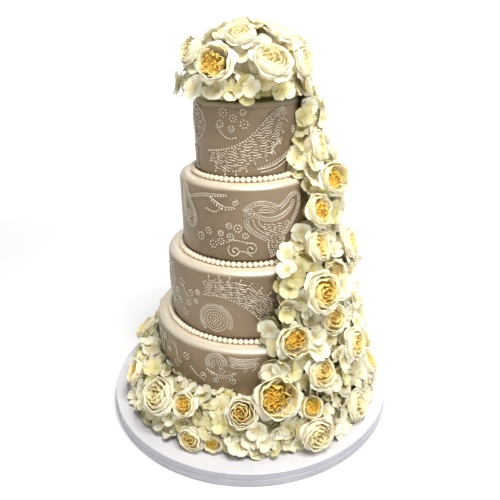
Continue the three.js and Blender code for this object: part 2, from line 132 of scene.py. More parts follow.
class HydrangeaSettings(bpy.types.PropertyGroup):
    radius: length("Floret", "Radius of an open floret", 17 * MM)
    spacing: length("Spacing", "Least distance between florets", 14.5 * MM)
    lift: length("Lift", "Height of a floret's face above the bed", 17 * MM)
    petal: colour("Petals", "Colour of an open floret", shade(236, 230, 203))
    young: colour("Young petals", "Colour of a floret that is still greenish", shade(214, 206, 152))
    # Painted shade: the florets of the lower layer are mixed towards this darker colour because
    # they lie in the shade of the ones above.
    painted_shade: colour("Lower petals", "Colour of the florets beneath the others", shade(176, 164, 100))
    # Partly the stems' own olive and partly painted shade: kept dark to stand for the shade in the
    # gaps between the florets.
    bed: colour("Bed", "Colour of the stems between the florets", shade(128, 110, 56))
    seed: IntProperty(name="Seed", description="Seed of the florets' places", default=3)


class StudioSettings(bpy.types.PropertyGroup):
    floor: length("Floor", "Radius of the floor", 7)
    key: number("Top light", "Power of the light above, in watts", 50)
    back: number("Back light", "Power of the light behind, in watts", 22)
    fill: number("Front light", "Power of the light in front, in watts", 4)
    surround: number("Surround", "Strength of the even light from all round", 0.2)
    lens: number("Lens", "Focal length of the camera, in millimetres", 37.14)


# ---------- Node helpers ----------


class Socket:
    """An output of a node that takes part in arithmetic, which adds Math nodes."""

    def __init__(self, graph, output):
        self.graph = graph
        self.output = output

    def __add__(self, other):
        return self.graph.math("ADD", self, other)

    def __sub__(self, other):
        return self.graph.math("SUBTRACT", self, other)

    def __rsub__(self, other):
        return self.graph.math("SUBTRACT", other, self)

    def __mul__(self, other):
        return self.graph.math("MULTIPLY", self, other)

    def __truediv__(self, other):
        return self.graph.math("DIVIDE", self, other)

    def __gt__(self, other):
        return self.graph.math("GREATER_THAN", self, other)

    def __lt__(self, other):
        return self.graph.math("LESS_THAN", self, other)

    __radd__ = __add__
    __rmul__ = __mul__

    def clamped(self):
        return self.graph.get("ShaderNodeClamp", {"Value": self})


class Graph:
    """Adds nodes to a tree and links them."""

    def __init__(self, tree):
        self.tree = tree

    @staticmethod
    def find(sockets, key):
        """A socket by its number or its name, or else the first one in use."""
        if isinstance(key, int):
            return sockets[key]
        return next(s for s in sockets if s.enabled and key in (None, s.name))

    def node(self, kind, values=None, **settings):
        """Adds a node. Each value is set on its input, or linked to it if it's a socket."""
        made = self.tree.nodes.new(kind)
        for name, value in settings.items():
            setattr(made, name, value)
        for key, value in (values or {}).items():
            socket = self.find(made.inputs, key)
            if isinstance(value, Socket):
                self.tree.links.new(value.output, socket)
            else:
                socket.default_value = value
        return made

    def out(self, node, key=None):
        return Socket(self, self.find(node.outputs, key))

    def get(self, kind, values=None, key=None, **settings):
        """Adds a node and gives one of its outputs."""
        return self.out(self.node(kind, values, **settings), key)

    def gather(self, kind, parts):
        """Adds a node whose one input takes several sockets."""
        made = self.node(kind)
        for part in parts:
            self.tree.links.new(part.output, made.inputs[0])
        return self.out(made)

    def math(self, operation, *values):
        return self.get("ShaderNodeMath", dict(enumerate(values)), operation=operation)

    def vector(self, operation, *values):
        return self.get("ShaderNodeVectorMath", dict(enumerate(values)), operation=operation)

    def scaled(self, vector, share):
        return self.get("ShaderNodeVectorMath", {0: vector, "Scale": share}, operation="SCALE")

    def part(self, vector, axis="Z"):
        """One of a vector's three numbers."""
        return self.get("ShaderNodeSeparateXYZ", {0: vector}, axis)

    def facing(self):
        """How far a surface looks up, from 1 on a level top to 0 on an upright side."""
        return self.part(self.get("ShaderNodeNewGeometry", key="Normal"))

    def mix(self, share, first, second):
        """A blend of two colours, each a colour or a socket."""
        first, second = (c if isinstance(c, Socket) else (*c, 1) for c in (first, second))
        values = {"Factor": share, "A": first, "B": second}
        return self.get("ShaderNodeMix", values, data_type="RGBA")

    def noise(self, place, scale, detail):
        values = {"Vector": place, "Scale": scale, "Detail": detail}
        return self.get("ShaderNodeTexNoise", values)

    def steps(self, value, low, high):
        """A value that eases from 0 at low to 1 at high."""
        values = {"Value": value, "From Min": low, "From Max": high}
        return self.get("ShaderNodeMapRange", values, interpolation_type="SMOOTHSTEP")

    def attribute(self, name):
        return self.get("ShaderNodeAttribute", key="Fac", attribute_name=name)

    def bump(self, height, distance, strength=1.0):
        values = {"Height": height, "Distance": distance, "Strength": strength}
        return self.get("ShaderNodeBump", values)

    def marked(self, instances, name, value):
        """Instances with a value on each, which the material reads."""
        values = {"Geometry": instances, "Name": name, "Value": value}
        return self.get("GeometryNodeStoreNamedAttribute", values, domain="INSTANCE")


def finish_material(name, paint):
    """A material whose Principled inputs are what paint(graph, place) returns by name."""
    material = bpy.data.materials.new(name)
    material.use_nodes = True
    material.node_tree.nodes.clear()
    graph = Graph(material.node_tree)
    values = paint(graph, graph.get("ShaderNodeTexCoord", key="Object"))
    shader = graph.get("ShaderNodeBsdfPrincipled", values)
    graph.node("ShaderNodeOutputMaterial", {"Surface": shader})
    return material


def geometry_tree(name, **sockets):
    """A geometry tree's graph, and a function that gives each of its inputs by name.

    Each kind's inputs are one text that parts their names by commas.
    """
    tree = bpy.data.node_groups.new(name, "GeometryNodeTree")
    panel = tree.interface
    panel.new_socket("Geometry", in_out="INPUT", socket_type="NodeSocketGeometry")
    for kind, labels in sockets.items():
        for label in labels.split(", "):
            panel.new_socket(label, in_out="INPUT", socket_type="NodeSocket" + kind)
    panel.new_socket("Geometry", in_out="OUTPUT", socket_type="NodeSocketGeometry")
    graph = Graph(tree)
    source = graph.node("NodeGroupInput")
    return graph, lambda label: graph.out(source, label)


def end_tree(graph, shape, material):
    """Ends a tree in Realize Instances and Set Material."""
    real = graph.get("GeometryNodeRealizeInstances", {"Geometry": shape})
    smooth = graph.get("GeometryNodeSetShadeSmooth", {"Geometry": real})
    coated = graph.get("GeometryNodeSetMaterial", {"Geometry": smooth, "Material": material})
    graph.node("NodeGroupOutput", {"Geometry": coated})
    return graph.tree


def run_tree(obj, tree, values):
    """Runs a tree on an object, with values for its inputs by name."""
    modifier = obj.modifiers.new("Growth", "NODES")
    modifier.node_group = tree
    for item in tree.interface.items_tree:
        if item.in_out == "INPUT" and item.name in values:
            modifier[item.identifier] = values[item.name]
    return settle(obj)


def settle(obj):
    """Turns an object's modifiers into its plain mesh."""
    bpy.context.view_layer.update()
    graph = bpy.context.evaluated_depsgraph_get()
    mesh = bpy.data.meshes.new_from_object(
        obj.evaluated_get(graph), preserve_all_data_layers=True, depsgraph=graph
    )
    obj.modifiers.clear()
    bare, obj.data = obj.data, mesh
    bpy.data.meshes.remove(bare)
    mesh.name = obj.name
    return obj


# ---------- Mesh helpers ----------


def new_piece(name, points, faces, edges=(), attributes=None, material=None):
    """A smooth mesh object from its points and faces, with point attributes."""
    mesh = bpy.data.meshes.new(name)
    mesh.from_pydata([tuple(p) for p in points], list(edges), list(faces))
    for label, values in (attributes or {}).items():
        layer = mesh.attributes.new(label, "FLOAT", "POINT")
        layer.data.foreach_set("value", np.asarray(values, np.float32))
    mesh.polygons.foreach_set("use_smooth", [True] * len(mesh.polygons))
    mesh.update()
    obj = bpy.data.objects.new(name, mesh)
    bpy.context.scene.collection.objects.link(obj)
    if material:
        mesh.materials.append(material)
    return obj


def keep(obj, slot, *nodes):
    """Hands a finished piece to the frame."""
    if not len(obj.data.polygons):
        raise RuntimeError(obj.name + " came out empty")
    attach(obj, "root")
    if nodes:
        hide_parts(*nodes)


def grid_faces(rows, columns, closed=False):
    """Quads over a grid of points that is stored row by row."""
    faces = []
    for low in range(0, (rows - 1) * columns, columns):
        high = low + columns
        for c in range(columns if closed else columns - 1):
            d = (c + 1) % columns
            faces.append((low + c, low + d, high + d, high + c))
    return faces


def turned(profile, sides=SIDES, wander=None):
    """A closed turned solid from (radius, height) rows between two poles on the axis."""
    foot, *rows, top = profile
    angles = np.arange(sides) * 2 * math.pi / sides
    points = []
    for radius, height in rows:
        radii = radius + (wander(angles, height) if wander else 0 * angles)
        points += list(zip(radii * np.sin(angles), -radii * np.cos(angles), 0 * angles + height))
    faces = grid_faces(len(rows), sides, closed=True)
    low, high = len(points), len(points) + 1
    points += [(0, 0, foot[1]), (0, 0, top[1])]
    last = (len(rows) - 1) * sides
    for c in range(sides):
        d = (c + 1) % sides
        faces += [(low, d, c), (last + c, last + d, high)]
    return points, faces


def rounded(radius, height, rounding, steps):
    """(radius, height) rows over a turned solid's rounded edge, from its side to its top."""
    rows = []
    for angle in map(math.radians, np.linspace(0, 90, steps)):
        inwards, down = 1 - math.cos(angle), 1 - math.sin(angle)
        rows.append((radius - rounding * inwards, height - rounding * down))
    return rows


def smooth_path(points, steps=8):
    """A smooth line through complex points."""
    knots = [2 * points[0] - points[1], *points, 2 * points[-1] - points[-2]]
    path = []
    for a, b, c, d in zip(knots, knots[1:], knots[2:], knots[3:]):
        for t in np.linspace(0, 1, steps, endpoint=False):
            bent = (2 * a - 5 * b + 4 * c - d) * t**2 + (3 * b - a - 3 * c + d) * t**3
            path.append(0.5 * (2 * b + (c - a) * t + bent))
    return np.array([*path, points[-1]])


def distances(path):
    """How far along a line of complex points each of them is."""
    return np.concatenate([[0], np.cumsum(np.abs(np.diff(path)))])


def evenly(path, count):
    """A number of points at even distances along a line of complex points."""
    along = distances(path)
    places = np.linspace(0, along[-1], count)
    return np.interp(places, along, path.real) + 1j * np.interp(places, along, path.imag)


def spaced(path, pitch):
    """Points at about a pitch along a line of complex points, with its direction at each."""
    path = np.asarray(path)
    spots = evenly(path, max(2, round(distances(path)[-1] / pitch) + 1))
    heading = np.gradient(spots)
    return spots, heading / np.maximum(np.abs(heading), 1e-9)


# ---------- Drums ----------


class CAKE_OT_drums(bpy.types.Operator):
    """Cover the two stacked drums with foil and ribbon"""

    bl_idname = "cake.drums"
    bl_label = "Drums"

    def execute(self, context):
        settings = context.scene.cake_drums

        def paint(graph, place):
            top = graph.steps(graph.facing(), 0.35, 0.8)
            cloud = graph.noise(place, 14, 4)
            crease = graph.noise(place, 420, 3)
            wave = {"Vector": place, "Scale": 260}
            ribbed = graph.get("ShaderNodeTexWave", wave, bands_direction="Z")
            side = graph.mix(cloud, settings.ribbon, shade(168, 165, 176))
            foil = graph.mix(cloud, settings.foil, shade(216, 214, 218))
            return {
                "Base Color": graph.mix(top, side, foil),
                "Roughness": 0.34 + 0.2 * cloud - 0.06 * graph.part(place),
                "Metallic": 0.12,
                "Coat Weight": 0.25,
                "Normal": graph.bump(crease * top + ribbed * (1 - top) * 0.6, 0.25 * MM),
            }

        material = finish_material("drum_foil", paint)
        for name in DRUMS:
            low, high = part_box(name)
            radius = high.x
            edge = rounded(radius, high.z, settings.edge, 5)
            under = [(r, low.z + high.z - z) for r, z in edge[::-1]]
            level = [(radius * share, high.z) for share in (0.7, 0.3, 0)]
            profile = [(0, low.z), (radius / 2, low.z), *under, *edge, *level]
            obj = new_piece(name + "_covered", *turned(profile), material=material)
            keep(obj, "board", name)
        return {"FINISHED"}


# ---------- Tiers ----------


def tier_size(name):
    """Radius, foot and top of a tier, in metres, without the relief on its side."""
    low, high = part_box(name)
    return min(-low.x, high.x, -low.y, high.y), low.z, high.z


class CAKE_OT_icing(bpy.types.Operator):
    """Smooth the fondant over each tier"""

    bl_idname = "cake.icing"
    bl_label = "Icing"

    def execute(self, context):
        settings = context.scene.cake_icing
        uneven = settings.uneven

        def paint(graph, place):
            cloud = graph.noise(place, 9, 3)
            brushed = graph.noise(place, 60, 5)
            grain = graph.noise(place, 900, 2)
            warm = settings.colour
            pale, painted_bounce_light = (tuple(share * c for c in warm) for share in (1.2, 1.35))
            deep = tuple(c * s for c, s in zip(warm, (0.82, 0.8, 0.75)))
            tone = graph.mix(graph.steps(cloud, 0.3, 0.7), deep, pale)
            side = graph.mix(0.35 * graph.steps(brushed, 0.35, 0.75), tone, pale)
            # Painted light: the fondant turns paler towards the foot of the cake, standing in for
            # light thrown up from the board and flowers.
            side = graph.mix(1 - graph.steps(graph.part(place), 0.06, 0.2), side, painted_bounce_light)
            # Painted highlight: level tops and the upper rounding are mixed to the paler ledge
            # colour, standing in for the light that falls on them.
            level = graph.steps(graph.facing(), 0.2, 0.95)
            return {
                "Base Color": graph.mix(level, side, settings.ledge),
                "Roughness": 0.32 + 0.16 * brushed,
                "Metallic": settings.lustre,
                "Specular IOR Level": 0.3,
                "Coat Weight": 0.12,
                "Coat Roughness": 0.35,
                "Normal": graph.bump(brushed + 0.25 * grain, 0.4 * MM, 0.5),
            }

        material = finish_material("pearl_fondant", paint)
        for number, name in enumerate(TIERS):
            radius, foot, top = tier_size(name)
            phase = 1.7 * number

            def wander(angles, height):
                wave = np.sin(3 * angles + phase + 9 * height) + 0.6 * np.sin(7 * angles - phase)
                return uneven * (wave * (height < top - settings.edge) - 1)

            rows = [(radius, foot + (top - foot) * s) for s in np.linspace(0, 0.9, 10)]
            corner = rounded(radius, top, settings.edge, 9)
            flat = [(radius * s, top + 0.4 * MM * math.sin(9 * s)) for s in (0.8, 0.5, 0.2)]
            profile = [(0, foot), *rows, *corner, *flat, (0, top)]
            shape = turned(profile, wander=wander)
            obj = new_piece(name.replace("tier", "icing"), *shape, material=material)
            keep(obj, "icing", name)
        return {"FINISHED"}


# ---------- Piped lace ----------

SAMPLES = 240  # points along each row of a field
LIFT_OFF = 1.9  # the gap between two strokes of a row, in mm
SHORTEST = 2.5  # a stroke under this length, in mm, is a bead
MARGINS = (1.8, 1.2)  # what a field's waves keep from its edge and its hem, in mm
RAYS = slice(12, 228, 21)  # where along its hem a field has short rays
RAY_ROOM = 8  # how wide a field is where it has a ray, in mm


class Piping:
    """Beads and lines on a tier's side, which is unrolled: x runs round it and y up, in mm."""

    def __init__(self, radius):
        self.radius = radius / MM
        self.beads = []
        self.lines = []

    def spot(self, around, up):
        return complex(self.radius * math.radians(around), up)

    def at(self, around, up, turn=0.0, size=1.0, flip=False):
        """How a motif's own plane is laid on the side. Its tip turns from up towards +X."""
        centre = self.spot(around, up)
        swing = size * np.exp(-1j * math.radians(turn))
        return lambda place: centre + swing * (-np.conj(place) if flip else place)

    def arc(self, *places):
        """A smooth line through (around, up) places."""
        return smooth_path([self.spot(*place) for place in places])

    def bead(self, spot, size=1.0):
        self.beads.append((spot, size))

    def row(self, path, pitch=3.9, size=1.0):
        for spot in spaced(path, pitch)[0]:
            self.bead(spot, size)

    def line(self, path, size=1.0, tapered=False):
        path = np.asarray(path)
        share = np.linspace(0, 1, len(path))
        taper = 0.35 + 0.65 * np.sin(math.pi * share) ** 0.5
        self.lines.append((path, size * (taper if tapered else 1 + 0 * share)))

    def stroke(self, start, reach, heading, bend=0.0):
        """One press of the nozzle: a tapered line that bends as it goes."""
        t = np.linspace(0, 1, 9)
        turn = heading + bend * np.cos(2 * math.pi * t)
        steps = np.exp(1j * turn) * reach / (len(t) - 1)
        path = start + np.concatenate([[0], np.cumsum(steps[1:])])
        self.line(path, tapered=True)

    def rope(self, path, wide=5.5, pitch=3.7):
        """A border of two lines with a row of beads between them."""
        spots, ahead = spaced(path, 2.0)
        for side in (-0.5, 0.5):
            self.line(spots + side * wide * 1j * ahead, 0.85)
        self.row(path, pitch, 1.05)

    def feather(self, path, reach=5.0, pitch=4.3, side=1):
        """A rib with a short stroke at each step."""
        spots, ahead = spaced(path, pitch)
        self.line(path, 0.9)
        for i, (spot, along) in enumerate(zip(spots, ahead)):
            taper = math.sin(math.pi * (i + 1) / (len(spots) + 1)) ** 0.5
            tip = spot + reach * taper * along * np.exp(1j * side * math.radians(58))
            self.line([spot, (spot + tip) / 2, tip], tapered=True)
            self.bead(tip)

    def flower(self, lay, petals=8, reach=5.0):
        for k in range(petals):
            self.bead(lay(reach * np.exp(2j * math.pi * k / petals)), 1.05)
        self.bead(lay(0), 0.95)

    def scroll(self, lay, reach=9.0, turns=1.3):
        """A line that winds in to a bead, from its own -y."""
        t = np.linspace(0, 1, 30)
        wound = reach * (1 - 0.8 * t) * np.exp(1j * (2 * math.pi * turns * t - 0.5 * math.pi))
        self.line(lay(wound))
        self.bead(lay(wound[-1]), 1.35)

    def rosette(self, lay, reach, rings):
        """A bead with rings of beads round it."""
        for ring in range(1, rings + 1):
            out = reach * ring / rings
            circle = lay(out * np.exp(1j * np.linspace(0, 2 * math.pi, 48)))
            spots, _ = spaced(circle, max(2.9, 3.9 - 0.2 * ring))
            for spot in spots[:-1]:
                self.bead(spot, 0.95)
        self.bead(lay(0), 1.2)

    def fill(self, edge, hem, random, apart=3.0, reach=14.0, slant=0.0, swing=1.0, pitch=9.5):
        """Broken waves that nest in one another from an edge to a hem, which has short rays."""
        edge, hem = evenly(edge, SAMPLES), evenly(hem, SAMPLES)
        across = np.abs(hem - edge)
        out = (hem - edge) / np.maximum(across, 1e-6)
        along = np.linspace(0, np.abs(np.diff(edge)).sum(), SAMPLES)
        apart *= math.hypot(1, slant)
        for k in range(-int(slant * along[-1] / apart), int(across.max() / apart) + 1):
            phase = 2 * math.pi * along / pitch + 1.5 * np.sin(along / 9.0 + 0.4 * k) + 0.6 * k
            high = swing * random.uniform(0.7, 1.2)
            away = k * apart + slant * along + high * np.sin(phase + random.uniform(-0.5, 0.5))
            inside = (away > MARGINS[0]) & (away < across - MARGINS[1])
            self.broken(edge + out * away, inside, reach, random)
        for start, end in zip(edge[RAYS], hem[RAYS]):
            wide = abs(end - start)
            if wide > RAY_ROOM:
                ray = (end - start) / wide
                self.line([end - 2 * ray, end, end + 3 * ray], tapered=True)
                self.bead(end + 4 * ray, 1.15)

    def broken(self, row, inside, reach, random):
        """A row of strokes and beads with gaps between them, where it's inside its field."""
        last = len(row) - 1

        def after_gap(i):
            start = row[i]
            while i < last and abs(row[i] - start) < LIFT_OFF:
                i += 1
            return i

        i = random.integers(0, 6)
        while i < last:
            end = i
            want = reach * random.uniform(0.4, 1.5)
            while end < last and inside[end] and abs(row[end] - row[i]) < want:
                end += 1
            length = abs(row[end - 1] - row[i]) if end > i else 0
            if length > SHORTEST:
                self.line(evenly(row[i:end], int(max(4, length / 1.1))), tapered=True)
            elif inside[i]:
                self.bead(row[i], random.uniform(0.85, 1.1))
            beaded = random.random() < 0.3
            i = after_gap(end)
            if beaded:
                if inside[i]:
                    self.bead(row[i])
                i = after_gap(i)

    def stamped(self, turns):
        """Repeats the lace round the side, each time at a turn in degrees, mirrored or not."""
        beads, lines = [], []
        for turn, mirrored in turns:
            away = self.radius * math.radians(turn)
            move = (lambda z: away - np.conj(z)) if mirrored else (lambda z: away + z)
            beads += [(move(spot), size) for spot, size in self.beads]
            lines += [(move(path), sizes) for path, sizes in self.lines]
        self.beads, self.lines = beads, lines

    def wrapped(self, radius, foot):
        """The points, faces, edges and attributes of the lace, wrapped on the tier's side."""
        spots, edges, sizes = [], [], []
        for path, widths in self.lines:
            edges += [(i, i + 1) for i in range(len(spots), len(spots) + len(path) - 1)]
            spots += list(path)
            sizes += list(widths)
        beads = [0] * len(spots) + [1] * len(self.beads)
        spots += [spot for spot, _ in self.beads]
        sizes += [size for _, size in self.beads]
        spots = np.array(spots) * MM
        angle = spots.real / radius
        proud = radius + GAP
        points = np.stack([proud * np.sin(angle), -proud * np.cos(angle), foot + spots.imag], 1)
        return points, [], edges, {"size": sizes, "bead": beads}


PAISLEY_HEAD = complex(0, -0.2)


def paisley_outline(share):
    """A teardrop of unit length with its tip bent over, drawn in by a share about its head."""
    turn = np.linspace(0, 2 * math.pi, 72)
    along = -0.5 * np.cos(turn)
    half = 0.3 * np.sin(turn) * (0.64 - 0.72 * along)
    hook = 0.4 * np.maximum(0, along + 0.1) ** 2
    return PAISLEY_HEAD + share * (half + hook + 1j * along - PAISLEY_HEAD)


def pipe_paisley(pipe, around, up, long, turn):
    """A paisley with a rope border, beads inside, a rosette at its head and a feathered back."""
    lay = pipe.at(around, up, turn, long)
    border = lay(paisley_outline(0.95))
    pipe.rope(border, 5.0)
    pipe.row(lay(paisley_outline(0.66)), 3.9, 0.95)
    pipe.rosette(lambda z: lay(PAISLEY_HEAD + z / long), 0.1 * long, 2)
    pipe.feather(lay(paisley_outline(1.1))[38:62], 4.2, 4.0, -1)
    way = np.exp(-1j * math.radians(turn - 60))
    pipe.scroll(lambda z: border[36] + 0.55 * z * way, 7, 0.9)


def pipe_lens(pipe, around, up, tall, wide, random):
    """Curls and drops inside an upright beaded lens."""
    t = np.linspace(-1, 1, 24)
    lay = pipe.at(around, up)
    for side in (-1, 1):
        pipe.row(lay(side * wide / 2 * (1 - t**2) + 0.5j * tall * t), 3.7, 1.1)
    for row, y in enumerate(np.arange(-0.5 * tall + 5, 0.5 * tall - 4, 4.6)):
        half = wide / 2 * (1 - (2 * y / tall) ** 2) - 3.4
        for x in np.arange(-half + 2.6 * (row % 2), half, 5.4):
            spot = lay(complex(x, y) + complex(*random.uniform(-0.8, 0.8, 2)))
            reach, heading = random.uniform(3.6, 5.2), random.uniform(0, 6.28)
            pipe.stroke(spot, reach, heading, random.choice((-1.2, 1.2)))
            if row % 2:
                pipe.bead(spot, 0.9)


def pipe_spray(pipe, places, petals=8, reach=5.2):
    """Small flowers of several sizes."""
    for i, (around, up) in enumerate(places):
        pipe.flower(pipe.at(around, up, 20 * i), petals - i % 2, reach - 0.8 * (i % 3))


def pipe_top(pipe, random):
    """Waves that sweep down and across, with feathers, flowers and two lenses."""
    edge = pipe.arc((-42, 40), (-20, 45), (-3, 55), (10, 69), (19, 82), (30, 93), (40, 97))
    hem = pipe.arc(
        (-42, 38), (-37, 23), (-30, 13), (-17, 13), (-4, 15), (6, 27), (20, 32), (32, 44),
        (38, 64), (44, 80), (48, 92),
    )
    pipe.row(edge, 4.1, 1.15)
    pipe.fill(edge, hem, random, apart=3.2, slant=0.7)
    for around in (-75, -70):
        pipe.row(pipe.arc((around, 40), (around + 3, 26), (around, 11)), 3.8)
    pipe_spray(pipe, [(-23, 93), (-13, 86), (-3, 94), (-2, 78), (-27, 78), (-15, 72)])
    pipe.row(pipe.arc((-31, 76), (-26, 66), (-19, 59), (-11, 60)), 3.8, 1.1)
    pipe.feather(pipe.arc((11, 16), (28, 20), (43, 28), (58, 38)))
    pipe.line(pipe.arc((14, 12), (30, 15), (45, 23), (59, 34)), 0.9)
    pipe.feather(pipe.arc((27, 36), (29, 46), (38, 53)), 4.0)
    pipe.flower(pipe.at(58, 64), 7, 4)
    pipe.stamped([(0, False), (-139, True)])
    for around in (-61, 150):
        pipe_lens(pipe, around, 76, 50, 40, random)


def pipe_upper_middle(pipe, random):
    """A paisley, a spray of flowers and a winged paisley over a beaded field."""
    pipe_paisley(pipe, -57, 78, 62, -22)
    pipe.feather(pipe.arc((-54, 94), (-37, 103), (-17, 105)), 4.5, side=-1)
    pipe.feather(pipe.arc((-30, 101), (-26, 95), (-19, 88), (-11, 88)), side=-1)
    pipe.scroll(pipe.at(-10, 94, 200, 1, True), 5, 1.1)
    pipe.row(pipe.arc((-34, 82), (-27, 79), (-21, 84)), 3.8)
    pipe_spray(
        pipe,
        [(-41, 38), (-33, 49), (-22, 48), (-29, 30), (-14, 44), (-15, 60), (-8, 57), (-22, 36)],
    )
    pipe.flower(pipe.at(-2, 46), 7, 4)
    pipe.row(pipe.arc((-17, 36), (-12, 39), (-6, 38), (-1, 36)), 3.8)
    pipe.scroll(pipe.at(-11, 23, 140), 10)
    pipe.scroll(pipe.at(2, 26, 140, 1, True), 10)
    pipe.line(pipe.arc((-12, 14), (-5, 23), (3, 15)))
    # The winged paisley: a beaded head, three roped wings and a hooked tip over its field.
    pipe.rosette(pipe.at(1, 79), 6.5, 2)
    for wing in (
        ((-3, 83), (3, 90), (11, 93), (19, 89), (25, 83)),
        ((25, 83), (31, 90), (36, 98), (42, 99), (45, 92), (44, 77), (38, 60), (31, 44)),
        ((5, 77), (15, 69), (26, 70), (35, 79), (39, 90)),
    ):
        pipe.rope(pipe.arc(*wing))
    for down in (0, 4, 8):
        fold = pipe.arc((8, 84 - down / 2), (14, 87 - down), (22, 79 - down / 3))
        pipe.line(fold, 0.9, tapered=True)
    pipe.rope(pipe.arc((-1, 70), (0, 59), (6, 49), (15, 39)))
    pipe.row(pipe.arc((4, 69), (6, 59), (11, 51), (19, 43)), 3.7)
    pipe.line(pipe.arc((8, 69), (10, 61), (15, 54), (22, 48)), 0.9)
    edge = pipe.arc((11, 66), (20, 64), (28, 64), (36, 66))
    hem = pipe.arc((17, 16), (20, 17), (26, 26), (31, 40))
    pipe.fill(edge, hem, random, apart=4.0, reach=6.0)
    pipe.row(pipe.arc((18, 40), (16, 28), (18, 16)), 3.7)
    pipe.stamped([(0, False), (-158, False)])


def pipe_lower_middle(pipe, random):
    """A roped head with a field of waves round it, flowers and feathers."""
    edge = pipe.arc((-31, 72), (-20, 74), (-12, 70), (-5, 62), (2, 50), (9, 30))
    hem = pipe.arc(
        (-31, 80), (-28, 98), (-18, 102), (-8, 100), (0, 95), (8, 85), (13, 76), (18, 62),
        (15, 44), (11, 28),
    )
    pipe.row(edge, 4.3, 1.15)
    pipe.fill(edge, hem, random, apart=3.5, reach=18, swing=1.5, pitch=12)
    head = pipe.at(-23, 33)
    pipe.rope(head(24 * np.exp(1j * np.linspace(-0.5, 3.9, 40))), 5.0)
    pipe.rosette(head, 18, 4)
    pipe_spray(
        pipe,
        [(-51, 78), (-42, 67), (-36, 72), (-55, 44), (-45, 48), (-38, 56), (-49, 30), (-58, 58)],
    )
    pipe.row(pipe.arc((-50, 72), (-47, 62), (-42, 56)), 3.8)
    for around in (-71, -66):
        pipe.feather(pipe.arc((around, 98), (around + 3, 80), (around + 1, 60)), 4)
    pipe.scroll(pipe.at(-64, 34, 40), 8)
    pipe.stamped([(0, False), (-98, False), (-250, True)])


def pipe_bottom(pipe, random):
    """A beaded shell with sweeping lines, and a lens, flowers and scrolls by it."""
    shell = pipe.at(-19, 120, 15)
    for reach in (3.5, 7, 10.5):
        pipe.row(shell(reach * np.exp(1j * np.linspace(-0.5, 4.3, 40))), 3.6)
    pipe.rope(shell(14.8 * np.exp(1j * np.linspace(0.1, 4.0, 40))), 4.8)
    for down in (0, 2.7, 5.4, 8.1):
        ends = (-12, 135 - down), (6 - down / 2, 133.5 - down)
        sweep = pipe.arc(ends[0], (-7, 131.5 - down), (-1, 131 - down), ends[1])
        pipe.line(sweep, 0.95, tapered=True)
    pipe.rope(pipe.arc((-11, 120), (-6, 118.5), (-1, 119.5), (4, 123)))
    pipe.feather(pipe.arc((-25, 108), (-20, 101), (-13, 101), (-9, 107)), 5.5, side=-1)
    pipe.flower(pipe.at(-16, 108), 6, 4.2)
    for around, up in ((-4, 108), (1, 110), (5, 115)):
        pipe.stroke(pipe.spot(around, up), 11, 1.0, 0.5)
    pipe_spray(pipe, [(-39, 116), (-60, 124), (-55, 108), (-48, 92), (-10, 92)])
    pipe_lens(pipe, -66, 112, 40, 20, random)
    pipe.row(pipe.arc((-50, 128), (-47, 118), (-47, 106), (-44, 98)), 3.8)
    pipe.scroll(pipe.at(-28, 93, 30), 7)
    pipe.scroll(pipe.at(-20, 90, 200, 1, True), 6)
    pipe.row(pipe.arc((-36, 100), (-33, 92), (-27, 84)), 3.8)
    pipe.stamped([(0, False), (-78, False), (-156, False)])


LACE = {
    "tier_bottom": pipe_bottom,
    "tier_lower_middle": pipe_lower_middle,
    "tier_upper_middle": pipe_upper_middle,
    "tier_top": pipe_top,
}


def lace_tree():
    """Thickens lines to piped icing and puts a bead on each loose point."""
    graph, given = geometry_tree(
        "Piped Lace", Float="Line Radius, Bead Radius", Material="Material"
    )
    size, bead = (
        graph.get("GeometryNodeInputNamedAttribute", {"Name": name}) for name in ("size", "bead")
    )
    curves = graph.get("GeometryNodeMeshToCurve", {"Mesh": given("Geometry")})
    ring = {"Resolution": 5, "Radius": given("Line Radius")}
    nozzle = graph.get("GeometryNodeCurvePrimitiveCircle", ring)
    pressed = {"Curve": curves, "Profile Curve": nozzle, "Scale": size, "Fill Caps": True}
    lines = graph.get("GeometryNodeCurveToMesh", pressed)
    loose = {"Mesh": given("Geometry"), "Selection": bead}
    points = graph.get("GeometryNodeMeshToPoints", loose)
    ball = {"Segments": 6, "Rings": 4, "Radius": given("Bead Radius")}
    drop = graph.get("GeometryNodeMeshUVSphere", ball)
    drops = graph.get(
        "GeometryNodeInstanceOnPoints", {"Points": points, "Instance": drop, "Scale": size}
    )
    both = graph.gather("GeometryNodeJoinGeometry", (lines, drops))
    return end_tree(graph, both, given("Material"))


class CAKE_OT_lace(bpy.types.Operator):
    """Pipe paisley lace on the sides of the tiers"""

    bl_idname = "cake.lace"
    bl_label = "Piped lace"

    def execute(self, context):
        settings = context.scene.cake_lace

        def paint(graph, place):
            tone = graph.noise(place, 160, 2)
            deep = tuple(0.82 * c for c in settings.colour)
            return {
                "Base Color": graph.mix(tone, deep, settings.colour),
                "Roughness": 0.3 + 0.12 * tone,
                "Metallic": 0.4,
                "Coat Weight": 0.5,
                "Coat Roughness": 0.2,
                "Normal": graph.bump(graph.noise(place, 1400, 2), 0.1 * MM),
            }

        material = finish_material("royal_icing", paint)
        values = {"Line Radius": settings.line, "Bead Radius": settings.bead, "Material": material}
        tree = lace_tree()
        random = np.random.default_rng(11)
        for name in TIERS:
            radius, foot, _ = tier_size(name)
            pipe = Piping(radius)
            LACE[name](pipe, random)
            obj = new_piece(name.replace("tier", "lace"), *pipe.wrapped(radius, foot))
            keep(run_tree(obj, tree, values), "icing")
        return {"FINISHED"}


# ---------- Pearl strings ----------


